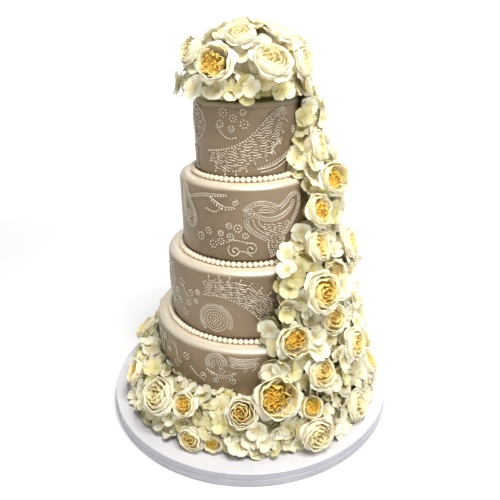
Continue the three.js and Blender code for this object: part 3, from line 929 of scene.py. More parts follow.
def pearl_tree():
    """A ring of pearls, each a little different."""
    graph, given = geometry_tree(
        "Pearl String", Float="Ring Radius, Pitch, Pearl Radius, Height", Material="Material"
    )
    ring = {"Resolution": 180, "Radius": given("Ring Radius")}
    circle = graph.get("GeometryNodeCurvePrimitiveCircle", ring)
    height = graph.get("ShaderNodeCombineXYZ", {"Z": given("Height")})
    raised = graph.get("GeometryNodeSetPosition", {"Geometry": circle, "Offset": height})
    thread = graph.get(
        "GeometryNodeResampleCurve", {"Curve": raised, "Length": given("Pitch")}, mode="LENGTH"
    )
    ball = {"Radius": given("Pearl Radius"), "Subdivisions": 2}
    pearl = graph.get("GeometryNodeMeshIcoSphere", ball)
    size = graph.get("FunctionNodeRandomValue", {"Min": 0.96, "Max": 1.03, "Seed": 4})
    tint = graph.get("FunctionNodeRandomValue", {"Seed": 9})
    strung = graph.get(
        "GeometryNodeInstanceOnPoints", {"Points": thread, "Instance": pearl, "Scale": size}
    )
    return end_tree(graph, graph.marked(strung, "tint", tint), given("Material"))


class CAKE_OT_pearls(bpy.types.Operator):
    """Lay a string of pearls round the foot of each tier that has one"""

    bl_idname = "cake.pearls"
    bl_label = "Pearl strings"

    def execute(self, context):
        settings = context.scene.cake_pearls

        def paint(graph, place):
            cloud = graph.noise(place, 260, 2)
            rosy = tuple(c * s for c, s in zip(settings.colour, (1, 0.96, 0.9)))
            warmth = (0.6 * graph.attribute("tint") + 0.5 * cloud).clamped()
            return {
                "Base Color": graph.mix(warmth, settings.colour, rosy),
                "Roughness": 0.22 + 0.12 * cloud,
                "Metallic": 0.12,
                "Coat Weight": 0.6,
                "Coat Roughness": 0.12,
                "Normal": graph.bump(cloud, 0.2 * MM),
            }

        material = finish_material("sugar_pearl", paint)
        tree = pearl_tree()
        for name in TIERS[1:]:
            radius, foot, _ = tier_size(name)
            obj = new_piece(name.replace("tier", "pearl_string"), [], [])
            values = {
                "Ring Radius": radius + settings.radius + GAP,
                "Pitch": settings.pitch,
                "Pearl Radius": settings.radius,
                "Height": foot + settings.radius,
                "Material": material,
            }
            keep(run_tree(obj, tree, values), "pearls", name.replace("tier", "pearls"))
        return {"FINISHED"}


# ---------- Roses ----------

GOLD_HEARTS = (
    "topper_1", "topper_9", "cascade_2", "cascade_3", "cascade_6", "cascade_9", "cascade_12",
    "cascade_13", "garland_1", "garland_5", "garland_7", "garland_9", "garland_11", "garland_14",
)
RICHEST_BUTTER = "cascade_7"
BUTTER_HEARTS = (
    "topper_8", "cascade_1", "cascade_4", "cascade_5", "cascade_8", "cascade_10", "cascade_11",
    "cascade_16", "garland_4", "garland_6", "garland_12", "garland_13", "garland_15",
)

# Blooms that look more towards the front, or upwards, than their solids do.
TURNED = {
    "topper_2": (-0.1, 0.2, 0.75),
    "cascade_2": (-0.3, -0.4, 0.0),
    "cascade_6": (-0.5, -0.6, 0.1),
    "cascade_8": (-0.15, -0.25, 0.0),
}

INNER = 0.55  # petals that stand less far out than this share make the heart
SOLID_FLARE = 1.07  # how much wider a bloom's solid is than the bloom
DEPTH = 0.62  # of a bloom, as a share of its width
PETALS = 32  # of a bloom that isn't golden


def rose_frame(name):
    """Seat, axis and width of a bloom, read from its solid."""
    corners = np.array([v.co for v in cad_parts[name].data.vertices])
    corners = np.unique(corners.round(6), axis=0)
    middle = corners.mean(0)
    spread, axes = np.linalg.eigh(np.cov((corners - middle).T))
    odd = 0 if spread[1] - spread[0] > spread[2] - spread[1] else 2
    axis = axes[:, odd]
    if axis @ (middle[0], middle[1], 0.02) < 0:
        axis = -axis
    along = (corners - middle) @ axis
    across = np.linalg.norm(corners - middle - along[:, None] * axis, axis=1)
    return middle + along.min() * axis, axis, 2 * across.max() / SOLID_FLARE


def gold_share(label):
    """How golden a bloom's heart is, from 0 to 1."""
    if label == RICHEST_BUTTER:
        return 0.62
    if label in GOLD_HEARTS:
        return 0.8 if label.startswith("topper") else 1.0
    return 0.45 if label in BUTTER_HEARTS else 0.12


def petal_shares(golden):
    """How far out each petal of a bloom stands, from the heart at 0 to the guard at 1."""
    if golden:
        return [*np.linspace(0.06, 0.5, 22), *np.linspace(0.66, 0.8, 7), *np.linspace(0.88, 1, 6)]
    return [((i + 0.5) / PETALS) ** 0.75 for i in range(PETALS)]


def petal_points(share, width, depth, golden, random):
    """One petal of a bloom that opens along +Z: its points, how far out each is, and its grid."""
    inner = share < INNER
    rows, columns = (5, 11 if golden else 7) if inner else (6, 11)
    u, v = np.meshgrid(np.linspace(-1, 1, columns), np.linspace(0, 1, rows) ** 0.85)
    reach = width / 2 * (0.08 + 0.92 * share) * random.uniform(0.95, 1.02)
    stops = (0, 0.5, 0.62, 0.8, 1)
    talls = (0.8, 0.86, 1.0, 0.98, 0.68) if golden else (0.86, 0.93, 0.97, 0.92, 0.66)
    tall = depth * np.interp(share, stops, talls)
    tall *= random.uniform(0.84, 1.06) if golden and inner else random.uniform(0.97, 1.03)
    flare = np.clip((share - 0.72) / 0.28, 0, 1) ** 1.2
    frill = 0.018 * np.sin(3 * math.pi * u + random.uniform(0, 6.28))
    edge = v * (1 - 0.14 * u**2 - (0.08 + 0.24 * flare) * np.abs(u) ** 5 + frill)
    cup = np.sin(math.pi * (0.1 + (0.5 if share > 0.6 else 0.56) * edge))
    spread = 0.2 + 0.8 * edge**1.2
    radius = reach * ((1 - flare) * cup + flare * spread)
    radius += reach * 0.05 * u * edge * (1 - 0.4 * flare)
    wave = random.uniform(0, 6.28)
    if golden and inner:
        ruffles, swing = random.uniform(1.3, 3.1), random.uniform(0.03, 0.06)
    else:
        ruffles, swing = 1.7, 0.022
    radius += swing * width * edge**2 * np.sin(ruffles * math.pi * u + wave)
    height = tall * (edge + 0.12 * np.sin(math.pi * edge) * flare)
    rolled = np.clip((edge - 0.74) / 0.26, 0, 1) ** 2
    height -= rolled * (0.15 + flare) * 0.07 * width * (1 + 0.5 * np.abs(u))
    radius += rolled * (0.3 + flare) * 0.03 * width * (not inner)
    span = np.interp(share, (0, 0.5, 0.7, 1), (1.0, 0.75, 0.85, 0.72)) * random.uniform(0.92, 1.08)
    narrow = 0.5 + 0.5 * np.sin(0.5 * math.pi * np.minimum(1, 1.6 * v))
    angle = u * span * narrow
    grid = np.stack([radius * np.cos(angle), radius * np.sin(angle), height], -1)
    return grid.reshape(-1, 3), v.reshape(-1), (rows, columns)


def bud(width, high, aside, sides=12):
    """The crumpled dome that the heart's petals wrap, open below."""
    points, faces = [], []
    for ring, (out, up) in enumerate(((0.11, 0.1), (0.18, 0.45), (0.17, 0.75), (0.1, 0.93))):
        for k in range(sides):
            angle = 2 * math.pi * k / sides
            reach = out * width * (1 + 0.13 * math.cos(3 * angle + 1.3 * ring))
            points.append([reach * math.cos(angle), reach * math.sin(angle), up * high])
            after = ring * sides + (k + 1) % sides
            if ring:
                faces.append((ring * sides + k - sides, after - sides, after, ring * sides + k))
    top = len(points)
    points.append([0, 0, high])
    faces += [(top - sides + k, top - sides + (k + 1) % sides, top) for k in range(sides)]
    return [np.array(p) + (aside.real, aside.imag, 0) for p in points], faces


def bloom(name, settings, material):
    """One rose that stands where its solid is."""
    seat, axis, width = rose_frame(name)
    label = name.removeprefix("rose_")
    golden = label in GOLD_HEARTS
    random = np.random.default_rng(settings.seed + sum(map(ord, name)) * 7)
    nodding = axis + settings.nod * random.uniform(-1, 1, 3) + TURNED.get(label, 0)
    nodding /= np.linalg.norm(nodding)
    seat = seat + 0.3 * width * (axis - nodding)
    aside = (0.13 if golden else 0.09) * width * np.exp(1j * random.uniform(0, 2 * math.pi))
    width *= settings.fullness
    depth = DEPTH * width
    points, faces = bud(width, (0.66 if golden else 0.5) * depth, 0.8 * aside)
    hearts, rims, tones = [1.0] * len(points), [0.3] * len(points), [0.5] * len(points)
    for i, share in enumerate(petal_shares(golden)):
        grid, rim, shape = petal_points(share, width, depth, golden, random)
        turn = Matrix.Rotation(i * GOLDEN_ANGLE + random.uniform(-0.2, 0.2), 3, "Z")
        grid = grid @ np.array(turn).T
        if share < INNER:
            grid = grid + (1 - share) * np.array([aside.real, aside.imag, 0])
        start = len(points)
        points += list(grid)
        faces += [tuple(start + k for k in face) for face in grid_faces(*shape)]
        hearts += [1 - share] * len(grid)
        rims += list(rim)
        tones += [random.uniform(0, 1)] * len(grid)
    stand = Vector((0, 0, 1)).rotation_difference(Vector(nodding)).to_matrix()
    points = np.array(points) @ np.array(stand).T + seat
    golds = [gold_share(label)] * len(points)
    attributes = {"heart": hearts, "rim": rims, "tone": tones, "gold": golds}
    obj = new_piece("bloom_" + label, points, faces, (), attributes, material)
    thick = obj.modifiers.new("Petal", "SOLIDIFY")
    thick.thickness = settings.thickness
    thick.offset = 0
    return obj


class CAKE_OT_roses(bpy.types.Operator):
    """Open a rose on each bloom's place"""

    bl_idname = "cake.roses"
    bl_label = "Roses"

    def execute(self, context):
        settings = context.scene.cake_roses

        def paint(graph, place):
            heart, rim, tone, gold = map(graph.attribute, ("heart", "rim", "tone", "gold"))
            cloud = graph.noise(place, 240, 3)
            blush = graph.steps(heart + 0.25 * (1 - rim) + 0.12 * tone, 0.18, 0.75)
            blush = (blush * (0.35 + 0.9 * gold)).clamped()
            warm = graph.mix(blush, settings.outer, settings.butter)
            core = graph.steps(heart + 0.16 * (1 - rim) + 0.1 * cloud, 0.44, 0.78) * gold
            rich = graph.mix((core * 1.1).clamped(), warm, settings.gold)
            return {
                "Base Color": graph.mix(0.2 * cloud, rich, shade(206, 196, 146)),
                "Roughness": 0.5 + 0.15 * cloud,
                "Subsurface Weight": 0.22,
                "Subsurface Radius": (1.0, 0.8, 0.35),
                "Subsurface Scale": 4 * MM,
                "Normal": graph.bump(graph.noise(place, 150, 3), 1.2 * MM, 0.7),
            }

        material = finish_material("rose_petal", paint)
        for name in sorted(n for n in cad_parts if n.startswith("rose_")):
            keep(settle(bloom(name, settings, material)), "roses", name)
        return {"FINISHED"}


# ---------- Hydrangea ----------

BED_SUNK = 12 * MM  # how far a bed reaches into the cake
STEP_EASE = 20 * MM  # how far from a tier's edge the cascade starts to bend
TOPPER_RADIUS, TOPPER_RISE, TOPPER_MIDDLE = 74 * MM, 60 * MM, 522 * MM
TOPPER_TUCK = 0.75  # how far round the topper is tucked in at its foot, in radians
GARLAND_MIDDLE, GARLAND_REACH = 168 * MM, 22 * MM
GARLAND_FOOT, GARLAND_RISE = 20 * MM, 60 * MM
CASCADE_FOOT, CASCADE_TOP = 72 * MM, 496 * MM

# The cascade's two edges, in degrees from the front, at heights in mm.
CASCADE_EDGES = (
    (80, 8, 128), (200, 15, 124), (272, 23, 122), (300, 44, 122), (390, 54, 126), (430, 66, 130),
    (500, 86, 138),
)

MOST_FLORETS = 40000.0  # to a square metre, before their spacing thins them
GROUND_GAP = 12 * MM  # of a floret above the level it may not sink under
LEVEL_BELOW = 34 * MM  # how near the ground florets start to look upwards
MOST_SUNK = 2 * MM  # how deep in a rose's solid a floret may start
TOPPER_FOOT = 465 * MM  # florets above this height may start deeper

# Each of a floret's petals is a grid, and the grid's middle is doubled to give it thickness.
PETAL_ROWS, PETAL_COLUMNS = 5, 4
PETAL_GRID = PETAL_ROWS * PETAL_COLUMNS
PETAL_MIDDLE = (5, 6, 9, 10, 13, 14)
PETAL_POINTS = PETAL_GRID + len(PETAL_MIDDLE)


def floret(name, radius, cupped, petals=4, wide=0.54, leaf=0.0):
    """Broad petals round a throat. Each is a thin closed shell with a crisp edge."""
    rows = ((0.06, 0.16), (0.34, 0.78), (0.62, 1.0), (0.86, 0.92), (1.0, 0.55))
    if leaf:
        rows = ((0.04, 0.2), (0.25, 0.8), (0.45, 1.0), (0.75, 0.66), (1.0, 0.1))
    points, rims, faces = [], [], []
    for petal in range(petals):
        turn = np.exp(2j * math.pi * (petal + 0.06 * (petal % 2)) / petals)
        lift = (0.0, 0.07, 0.02, 0.09)[petal % 4]
        start = len(points)
        for out, breadth in rows:
            for across in (-1, -0.4, 0.4, 1):
                side = across * (1 + 0.12 * (petal % 3) * (across > 0))
                x = out * (1 - 0.13 * across**2 * out**2)
                z = 0.1 * math.sin(2.6 * out) + (cupped + lift) * out**1.7
                z += 0.12 * across**2 * out + 0.06 * across * out * (-1) ** petal
                spot = complex(x, side * breadth * wide) * turn * radius
                points.append((spot.real, spot.imag, z * radius))
                rims.append(out)
        for inner in PETAL_MIDDLE:
            x, y, z = points[start + inner]
            points.append((x, y, z - 0.035 * radius))
            rims.append(rims[start + inner])
        top = [face[::-1] for face in grid_faces(PETAL_ROWS, PETAL_COLUMNS)]
        below = {k: PETAL_GRID + i for i, k in enumerate(PETAL_MIDDLE)}
        faces += [tuple(start + k for k in face) for face in top]
        faces += [tuple(start + below.get(k, k) for k in face[::-1]) for face in top]
    if not leaf:
        eye = len(points)
        corners = 0.12 * radius * np.exp(2j * math.pi * np.arange(5) / 5)
        points += [(c.real, c.imag, 0.01 * radius) for c in corners]
        points += [(0, 0, 0.1 * radius), (0, 0, -0.05 * radius)]
        rims += [0] * 7
        for k in range(5):
            a, b = eye + k, eye + (k + 1) % 5
            faces += [(a, b, eye + 5), (b, a, eye + 6)]
    obj = new_piece(name, points, faces, (), {"rim": rims, "leaf": [leaf] * len(points)})
    ends = [(k, k + 1) for row in (0, 16) for k in range(row, row + 3)]
    sides = [(k, k + 4) for side in (0, 3) for k in range(side, 16, 4)]
    rim = {frozenset(pair) for pair in ends + sides}
    for edge in obj.data.edges:
        a, b = edge.vertices
        same = a // PETAL_POINTS == b // PETAL_POINTS < petals
        edge.use_edge_sharp = same and frozenset((a % PETAL_POINTS, b % PETAL_POINTS)) in rim
    return obj


def cascade_spine():
    """Heights and radii of the line that the cascade follows down the tiers."""
    rows = []
    sizes = [tier_size(name) for name in TIERS]
    for i, (radius, foot, top) in enumerate(sizes):
        rows += [(foot + (STEP_EASE if i else 0), radius), (top - STEP_EASE, radius)]
        if i + 1 < len(sizes):
            rows.append((top, 0.4 * radius + 0.6 * sizes[i + 1][0] + STEP_EASE / 2))
    return list(zip(*rows))


def cascade_bed():
    """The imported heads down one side, as a closed band bent round the tiers."""
    rows, columns = 48, 22
    heights = np.linspace(CASCADE_FOOT, CASCADE_TOP, rows)
    edge_up, left, right = zip(*[(up * MM, a, b) for up, a, b in CASCADE_EDGES])
    spine = cascade_spine()
    points = []
    for skin in (1, 0):
        for up in heights:
            start, stop = np.interp(up, edge_up, left), np.interp(up, edge_up, right)
            for share in np.linspace(0, 1, columns):
                around = start + (stop - start) * share
                swell = math.sqrt(max(0, 1 - (2 * share - 1) ** 4))
                lump = 1 + 0.16 * math.sin(around / 7) * math.cos(up / MM / 17)
                out = (3 + 16 * swell * lump) * MM if skin else -BED_SUNK
                radius, angle = np.interp(up, *spine) + out, math.radians(around)
                points.append((radius * math.sin(angle), -radius * math.cos(angle), up))
    return points, shell_faces(rows, columns)


def shell_faces(rows, columns):
    """Faces of a closed slab whose outer and inner grids are stored one after the other."""
    size = rows * columns
    outer = grid_faces(rows, columns)
    faces = outer + [tuple(size + k for k in reversed(face)) for face in outer]
    ring = [*range(columns - 1), *range(columns - 1, size - 1, columns)]
    ring += [*range(size - 1, size - columns, -1), *range(size - columns, 0, -columns)]
    for a, b in zip(ring, ring[1:] + ring[:1]):
        faces.append((b, a, size + a, size + b))
    return faces


def garland_bed():
    """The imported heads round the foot, as a closed ring."""
    sides = 120
    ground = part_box("drum_upper")[1].z + GAP
    inner = tier_size("tier_bottom")[0] - BED_SUNK
    lift = math.asin((ground - GARLAND_FOOT) / GARLAND_RISE)
    profile = [(inner, ground)]
    for degrees in np.linspace(0, 74, 9):
        angle = lift + math.radians(degrees)
        out, up = GARLAND_REACH * math.cos(angle), GARLAND_RISE * math.sin(angle)
        profile.append((GARLAND_MIDDLE + out, GARLAND_FOOT + up))
    profile.append((inner, GARLAND_FOOT + GARLAND_RISE))
    points = []
    for radius, height in profile:
        for angle in np.arange(sides) * 2 * math.pi / sides:
            lump = 1 + 0.014 * math.sin(9 * angle + height / MM / 8) * (radius > inner)
            reach = radius * lump
            points.append((reach * math.cos(angle), reach * math.sin(angle), height))
    faces = grid_faces(len(profile), sides, closed=True)
    last = (len(profile) - 1) * sides
    for c in range(sides):
        d = (c + 1) % sides
        faces.append((last + c, last + d, d, c))
    return points, faces


def topper_bed():
    """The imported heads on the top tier, as a mound that narrows to a crown."""
    top = tier_size("tier_top")[2] + GAP
    rows = [(TOPPER_RADIUS * math.cos(TOPPER_TUCK), top)]
    for angle in np.linspace(TOPPER_TUCK, 0, 6)[1:]:
        down = (TOPPER_MIDDLE - top) * math.sin(angle)
        rows.append((TOPPER_RADIUS * math.cos(angle), TOPPER_MIDDLE - down))
    for share in np.linspace(0.96, 0.06, 16):
        rows.append((TOPPER_RADIUS * share, TOPPER_MIDDLE + TOPPER_RISE * (1 - share**1.5)))
    return turned([(0, top), *rows, (0, TOPPER_MIDDLE + TOPPER_RISE)], 64)


def floret_tree():
    """Spreads florets over a bed, apart from one another and out of the roses."""
    graph, given = geometry_tree(
        "Hydrangea Head",
        Float="Spacing, Lift, Clearance, Tilt, Depth, Ground, Smallest, Largest, Leaves",
        Int="Seed",
        Object="Roses, Leaf, Young Floret, Cupped Floret, Open Floret",
        Material="Material",
    )

    def drawn(low, high, offset, kind="FLOAT"):
        """A random value for each floret."""
        values = {"Min": low, "Max": high, "Seed": given("Seed") + offset}
        return graph.get("FunctionNodeRandomValue", values, data_type=kind)

    spread = graph.node(
        "GeometryNodeDistributePointsOnFaces",
        {
            "Mesh": given("Geometry"), "Distance Min": given("Spacing"),
            "Density Max": MOST_FLORETS, "Seed": given("Seed"),
        },
        distribute_method="POISSON",
    )
    normal = graph.out(spread, "Normal")
    lift = graph.scaled(normal, given("Lift") * drawn(0.45, 1.0, 6))
    raised = {"Geometry": graph.out(spread, "Points"), "Offset": lift}
    points = graph.get("GeometryNodeSetPosition", raised)
    where = graph.get("GeometryNodeInputPosition")
    height = graph.part(where)
    lowest = given("Ground") + GROUND_GAP
    kept = graph.get(
        "ShaderNodeCombineXYZ",
        {
            "X": graph.part(where, "X"), "Y": graph.part(where, "Y"),
            "Z": graph.math("MAXIMUM", height, lowest),
        },
    )
    points = graph.get("GeometryNodeSetPosition", {"Geometry": points, "Position": kept})

    blooms = graph.get("GeometryNodeObjectInfo", {"Object": given("Roses")}, "Geometry")
    sample = {"Geometry": blooms, "Sample Position": where}
    near = graph.node("GeometryNodeProximity", sample, target_element="FACES")
    crowded = given("Clearance") > graph.out(near, "Distance")
    way_out = graph.vector("SUBTRACT", graph.out(near, "Position"), where)
    normals = graph.get("GeometryNodeInputNormal")
    outwards = graph.get(
        "GeometryNodeSampleNearestSurface",
        {"Mesh": blooms, "Value": normals, "Sample Position": where},
        data_type="FLOAT_VECTOR",
    )
    inside = graph.vector("DOT_PRODUCT", way_out, outwards) > MOST_SUNK
    inside = inside * (height < TOPPER_FOOT)
    hidden = graph.math("MAXIMUM", crowded, inside)
    clear = graph.get("GeometryNodeDeleteGeometry", {"Geometry": points, "Selection": hidden})

    leaning = graph.scaled(drawn((-1, -1, -1), (1, 1, 1), 1, "FLOAT_VECTOR"), given("Tilt"))
    low = ((given("Ground") + LEVEL_BELOW - height) / LEVEL_BELOW).clamped()
    level = graph.get("ShaderNodeCombineXYZ", {"Z": low})
    facing = graph.vector("ADD", graph.vector("ADD", normal, leaning), level)
    upright = graph.get("FunctionNodeAlignRotationToVector", {"Vector": facing}, axis="Z")
    spin = graph.get(
        "FunctionNodeAxisAngleToRotation", {"Axis": (0, 0, 1), "Angle": drawn(0.0, 6.28, 2)}
    )
    aimed = graph.get(
        "FunctionNodeRotateRotation",
        {"Rotation": upright, "Rotate By": spin},
        rotation_space="LOCAL",
    )
    labels = ("Leaf", "Young Floret", "Cupped Floret", "Open Floret")
    shapes = (
        graph.get("GeometryNodeObjectInfo", {"Object": given(label)}, "Geometry")
        for label in labels
    )
    dice = drawn(0.0, 1.0, 3)
    placed = graph.get(
        "GeometryNodeInstanceOnPoints",
        {
            "Points": clear, "Pick Instance": True,
            "Instance": graph.gather("GeometryNodeGeometryToInstance", shapes),
            "Instance Index": (dice > 0.4) + (dice > 0.78) + (dice > 1 - given("Leaves")),
            "Rotation": aimed,
            "Scale": drawn(given("Smallest"), given("Largest"), 4),
        },
    )
    tinted = graph.marked(placed, "tint", drawn(0.0, 1.0, 5))
    # The 'depth' attribute carries how far each floret is mixed towards the painted shade colour.
    return end_tree(graph, graph.marked(tinted, "depth", given("Depth")), given("Material"))


def outer_skin(obj):
    """Leaves only the faces of a bed that lie outside the cake and look outwards or up."""
    sizes = [tier_size(name) for name in TIERS]
    bed = bmesh.new()
    bed.from_mesh(obj.data)
    hidden = []
    for face in bed.faces:
        spot = face.calc_center_median()
        out = math.hypot(spot.x, spot.y)
        inside = any(foot < spot.z < top and out < radius + MM for radius, foot, top in sizes)
        if inside or face.normal.z < -0.5:
            hidden.append(face)
    bmesh.ops.delete(bed, geom=hidden, context="FACES")
    bed.to_mesh(obj.data)
    bed.free()


def rose_rooms():
    """All the roses' solids as one hidden mesh that the florets keep clear of."""
    points, faces = [], []
    for name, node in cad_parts.items():
        if name.startswith("rose_"):
            start = len(points)
            points += [tuple(v.co) for v in node.data.vertices]
            faces += [tuple(start + k for k in p.vertices) for p in node.data.polygons]
    return new_piece("rose_rooms", points, faces)


class CAKE_OT_hydrangea(bpy.types.Operator):
    """Fill the topper, the cascade and the garland with hydrangea florets"""

    bl_idname = "cake.hydrangea"
    bl_label = "Hydrangea"

    def execute(self, context):
        settings = context.scene.cake_hydrangea

        def paint_florets(graph, place):
            cloud = graph.noise(place, 60, 3)
            fresh = graph.steps(graph.attribute("tint") + 0.5 * cloud, 0.8, 1.3)
            petal = graph.mix(fresh, settings.petal, settings.young)
            # Painted shade: the 'depth' attribute darkens the lower layer's florets towards the
            # shade colour.
            petal = graph.mix(graph.attribute("depth"), petal, settings.painted_shade)
            throat = graph.steps(1 - graph.attribute("rim"), 0.3, 0.95) * 0.75
            opened = graph.mix(throat, petal, shade(208, 190, 112))
            return {
                "Base Color": graph.mix(graph.attribute("leaf"), opened, shade(92, 108, 58)),
                "Roughness": 0.52 + 0.14 * cloud,
                "Subsurface Weight": 0.22,
                "Subsurface Radius": (1.0, 0.8, 0.4),
                "Subsurface Scale": 4 * MM,
                "Normal": graph.bump(graph.noise(place, 130, 3), 2 * MM, 0.8),
            }

        def paint_stems_and_gap_shade(graph, place):
            # The stems' olive with darker patches, kept dark as painted shade for the gaps between
            # the florets.
            cloud = graph.noise(place, 90, 4)
            return {
                "Base Color": graph.mix(cloud, settings.bed, shade(74, 68, 30)),
                "Roughness": 0.8,
                "Normal": graph.bump(graph.noise(place, 260, 4), 2 * MM),
            }

        florets = finish_material("hydrangea_petal", paint_florets)
        stems = finish_material("hydrangea_stem", paint_stems_and_gap_shade)
        tree = floret_tree()
        helpers = {
            "Roses": rose_rooms(),
            "Open Floret": floret("open_floret", settings.radius, 0.0),
            "Cupped Floret": floret("cupped_floret", settings.radius, 0.28),
            "Young Floret": floret("young_floret", settings.radius * 0.78, 0.55),
            "Leaf": floret("leaf", settings.radius * 1.15, -0.1, 1, 0.3, 1.0),
        }
        top, drum = tier_size("tier_top")[2] + 3 * MM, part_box("drum_upper")[1].z
        # A bed, the level its florets stay above, and the lift and clearance of its upper ones.
        beds = {
            "topper": (topper_bed, top, 1.2, 3),
            "cascade": (cascade_bed, drum, 1.0, 8),
            "garland": (garland_bed, drum, 1.0, 8),
        }
        for number, (name, (bed, ground, lift, clearance)) in enumerate(beds.items()):
            core = new_piece("stems_" + name, *bed(), material=stems)
            shared = {
                "Tilt": 0.5, "Ground": ground, "Smallest": 0.85, "Largest": 1.15,
                "Material": florets, **helpers,
            }
            upper = {
                "Spacing": settings.spacing, "Lift": lift * settings.lift,
                "Clearance": clearance * MM, "Leaves": 0.0, "Depth": 0.0,
            }
            # The lower layer is mixed 0.6 of the way towards the painted shade colour.
            lower = {
                "Spacing": settings.spacing * 0.95, "Lift": 0.4 * settings.lift,
                "Clearance": 2 * MM, "Leaves": 0.06, "Depth": 0.6,
            }
            for label, layer in (("florets_", upper), ("lower_florets_", lower)):
                heads = new_piece(label + name, [], [])
                heads.data = core.data.copy()
                outer_skin(heads)
                seed = settings.seed + number + 10 * (layer is lower)
                keep(run_tree(heads, tree, {**shared, **layer, "Seed": seed}), "hydrangea")
            nodes = [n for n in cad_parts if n.startswith("hydrangea_" + name)]
            keep(core, "hydrangea", *nodes)
        for helper in helpers.values():
            bpy.data.objects.remove(helper)
        return {"FINISHED"}


# ---------- Studio ----------

CAMERA_PLACE = (0, -0.762, 0.600)
CAMERA_TURN = (0.2, 24.07, -0.96)
FLOOR_SIDES = 96
FLOOR_TOP, FLOOR_FOOT = -0.5 * MM, -60 * MM
BACKDROP_FOOT = -70 * MM

# Each light's name, place, the height on the axis that it looks at, size and setting.
LIGHTS = (
    ("top_light", (0.4, -0.75, 2.0), 0.25, 0.9, "key"),
    ("back_light", (0.25, 1.6, 1.7), 0.3, 1.4, "back"),
    ("front_light", (1.5, -1.3, 1.0), 0.25, 1.2, "fill"),
)


def camera_turn(yaw, down, roll):
    """A camera's turn, given in degrees: towards +X, down from level, and about its own view."""
    yaw, down, roll = map(math.radians, (yaw, down, roll))
    level = math.cos(down)
    ahead = Vector((math.sin(yaw) * level, math.cos(yaw) * level, -math.sin(down)))
    right = Vector((math.cos(yaw), -math.sin(yaw), 0))
    up = right.cross(ahead)
    side = math.cos(roll) * right + math.sin(roll) * up
    top = math.cos(roll) * up - math.sin(roll) * right
    return Matrix((side, top, -ahead)).transposed()


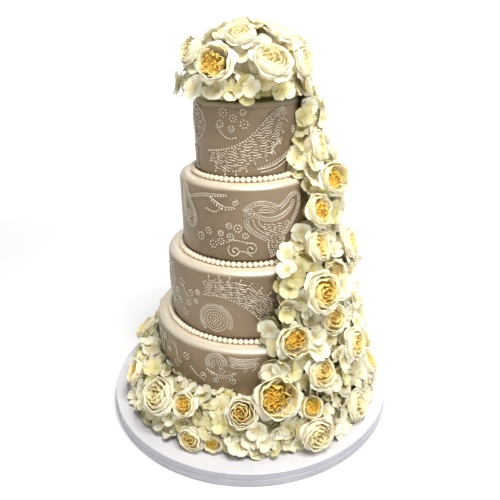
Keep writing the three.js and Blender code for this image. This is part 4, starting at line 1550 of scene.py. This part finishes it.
class CAKE_OT_studio(bpy.types.Operator):
    """Set the floor, the lights and the camera"""

    bl_idname = "cake.studio"
    bl_label = "Studio"

    def execute(self, context):
        settings = context.scene.cake_studio
        scene = context.scene
        radius = settings.floor
        dome = [(radius * math.cos(a), radius * math.sin(a)) for a in np.linspace(0, 1.5, 24)]
        backing = [(0, BACKDROP_FOOT), (radius, BACKDROP_FOOT), *dome, (0, radius)]
        slab = [(0, FLOOR_FOOT), (radius, FLOOR_FOOT), (radius, FLOOR_TOP), (0, FLOOR_TOP)]

        def paint_floor(graph, place):
            far = graph.steps(graph.vector("LENGTH", place), 0.7, 2.6)
            cloud = graph.noise(place, 0.8, 2)
            return {
                "Base Color": graph.mix(cloud, (0.9,) * 3, (0.93,) * 3),
                "Roughness": 0.7,
                "Emission Color": graph.mix(far, (0, 0, 0), (0.95, 0.95, 0.96)),
                "Emission Strength": 1.0,
            }

        def paint_dome(graph, place):
            level = graph.steps(graph.part(place) / radius, 0.12, 0.34)
            return {
                "Base Color": (0, 0, 0, 1),
                "Emission Color": graph.mix(level, (1, 1, 1), (settings.surround,) * 3),
                "Emission Strength": 1.0,
            }

        paper = finish_material("floor_paper", paint_floor)
        glow = finish_material("backdrop_glow", paint_dome)
        floor = new_piece("floor", *turned(slab, FLOOR_SIDES), material=paper)
        sky = new_piece("backdrop", *turned(backing, FLOOR_SIDES), material=glow)
        sky.data.flip_normals()
        world = bpy.data.worlds.new("surround")
        scene.world = world
        world.use_nodes = True
        world.node_tree.nodes["Background"].inputs["Strength"].default_value = 0

        for name, place, target, size, power in LIGHTS:
            self.light(name, place, (0, 0, target), size, getattr(settings, power))

        data = bpy.data.cameras.new("camera")
        data.lens, data.sensor_width = settings.lens, 36
        camera = bpy.data.objects.new("camera", data)
        scene.collection.objects.link(camera)
        turn = camera_turn(*CAMERA_TURN).to_4x4()
        camera.matrix_world = Matrix.Translation(CAMERA_PLACE) @ turn
        scene.camera = camera
        scene.view_settings.view_transform = "Standard"
        return {"FINISHED"}

    @staticmethod
    def light(name, place, target, size, power):
        data = bpy.data.lights.new(name, "AREA")
        data.size, data.energy = size, power
        lamp = bpy.data.objects.new(name, data)
        lamp.location = place
        lamp.rotation_euler = (Vector(target) - Vector(place)).to_track_quat("-Z", "Y").to_euler()
        lamp.visible_camera = False
        bpy.context.scene.collection.objects.link(lamp)


# ---------- Panel and start ----------


class CAKE_PT_dresser(bpy.types.Panel):
    """Lists the cake's pieces and their settings"""

    bl_idname = "CAKE_PT_dresser"
    bl_label = "Tiered cake"
    bl_space_type = "VIEW_3D"
    bl_region_type = "UI"
    bl_category = "Cake"

    def draw(self, context):
        for name, (settings, operator) in PIECES.items():
            box = self.layout.box()
            group = getattr(context.scene, "cake_" + name)
            for label in settings.__annotations__:
                box.prop(group, label)
            box.operator(operator.bl_idname)


PIECES = {
    "drums": (DrumSettings, CAKE_OT_drums),
    "icing": (IcingSettings, CAKE_OT_icing),
    "lace": (LaceSettings, CAKE_OT_lace),
    "pearls": (PearlSettings, CAKE_OT_pearls),
    "roses": (RoseSettings, CAKE_OT_roses),
    "hydrangea": (HydrangeaSettings, CAKE_OT_hydrangea),
    "studio": (StudioSettings, CAKE_OT_studio),
}


def register():
    for name, (settings, operator) in PIECES.items():
        bpy.utils.register_class(settings)
        bpy.utils.register_class(operator)
        setattr(bpy.types.Scene, "cake_" + name, PointerProperty(type=settings))
    bpy.utils.register_class(CAKE_PT_dresser)


def unregister():
    bpy.utils.unregister_class(CAKE_PT_dresser)
    for name, (settings, operator) in reversed(PIECES.items()):
        delattr(bpy.types.Scene, "cake_" + name)
        bpy.utils.unregister_class(operator)
        bpy.utils.unregister_class(settings)


def main():
    register()
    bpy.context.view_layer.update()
    bpy.ops.cake.drums()
    bpy.ops.cake.icing()
    bpy.ops.cake.lace()
    bpy.ops.cake.pearls()
    bpy.ops.cake.roses()
    bpy.ops.cake.hydrangea()
    bpy.ops.cake.studio()


if __name__ == "__main__":
    main()
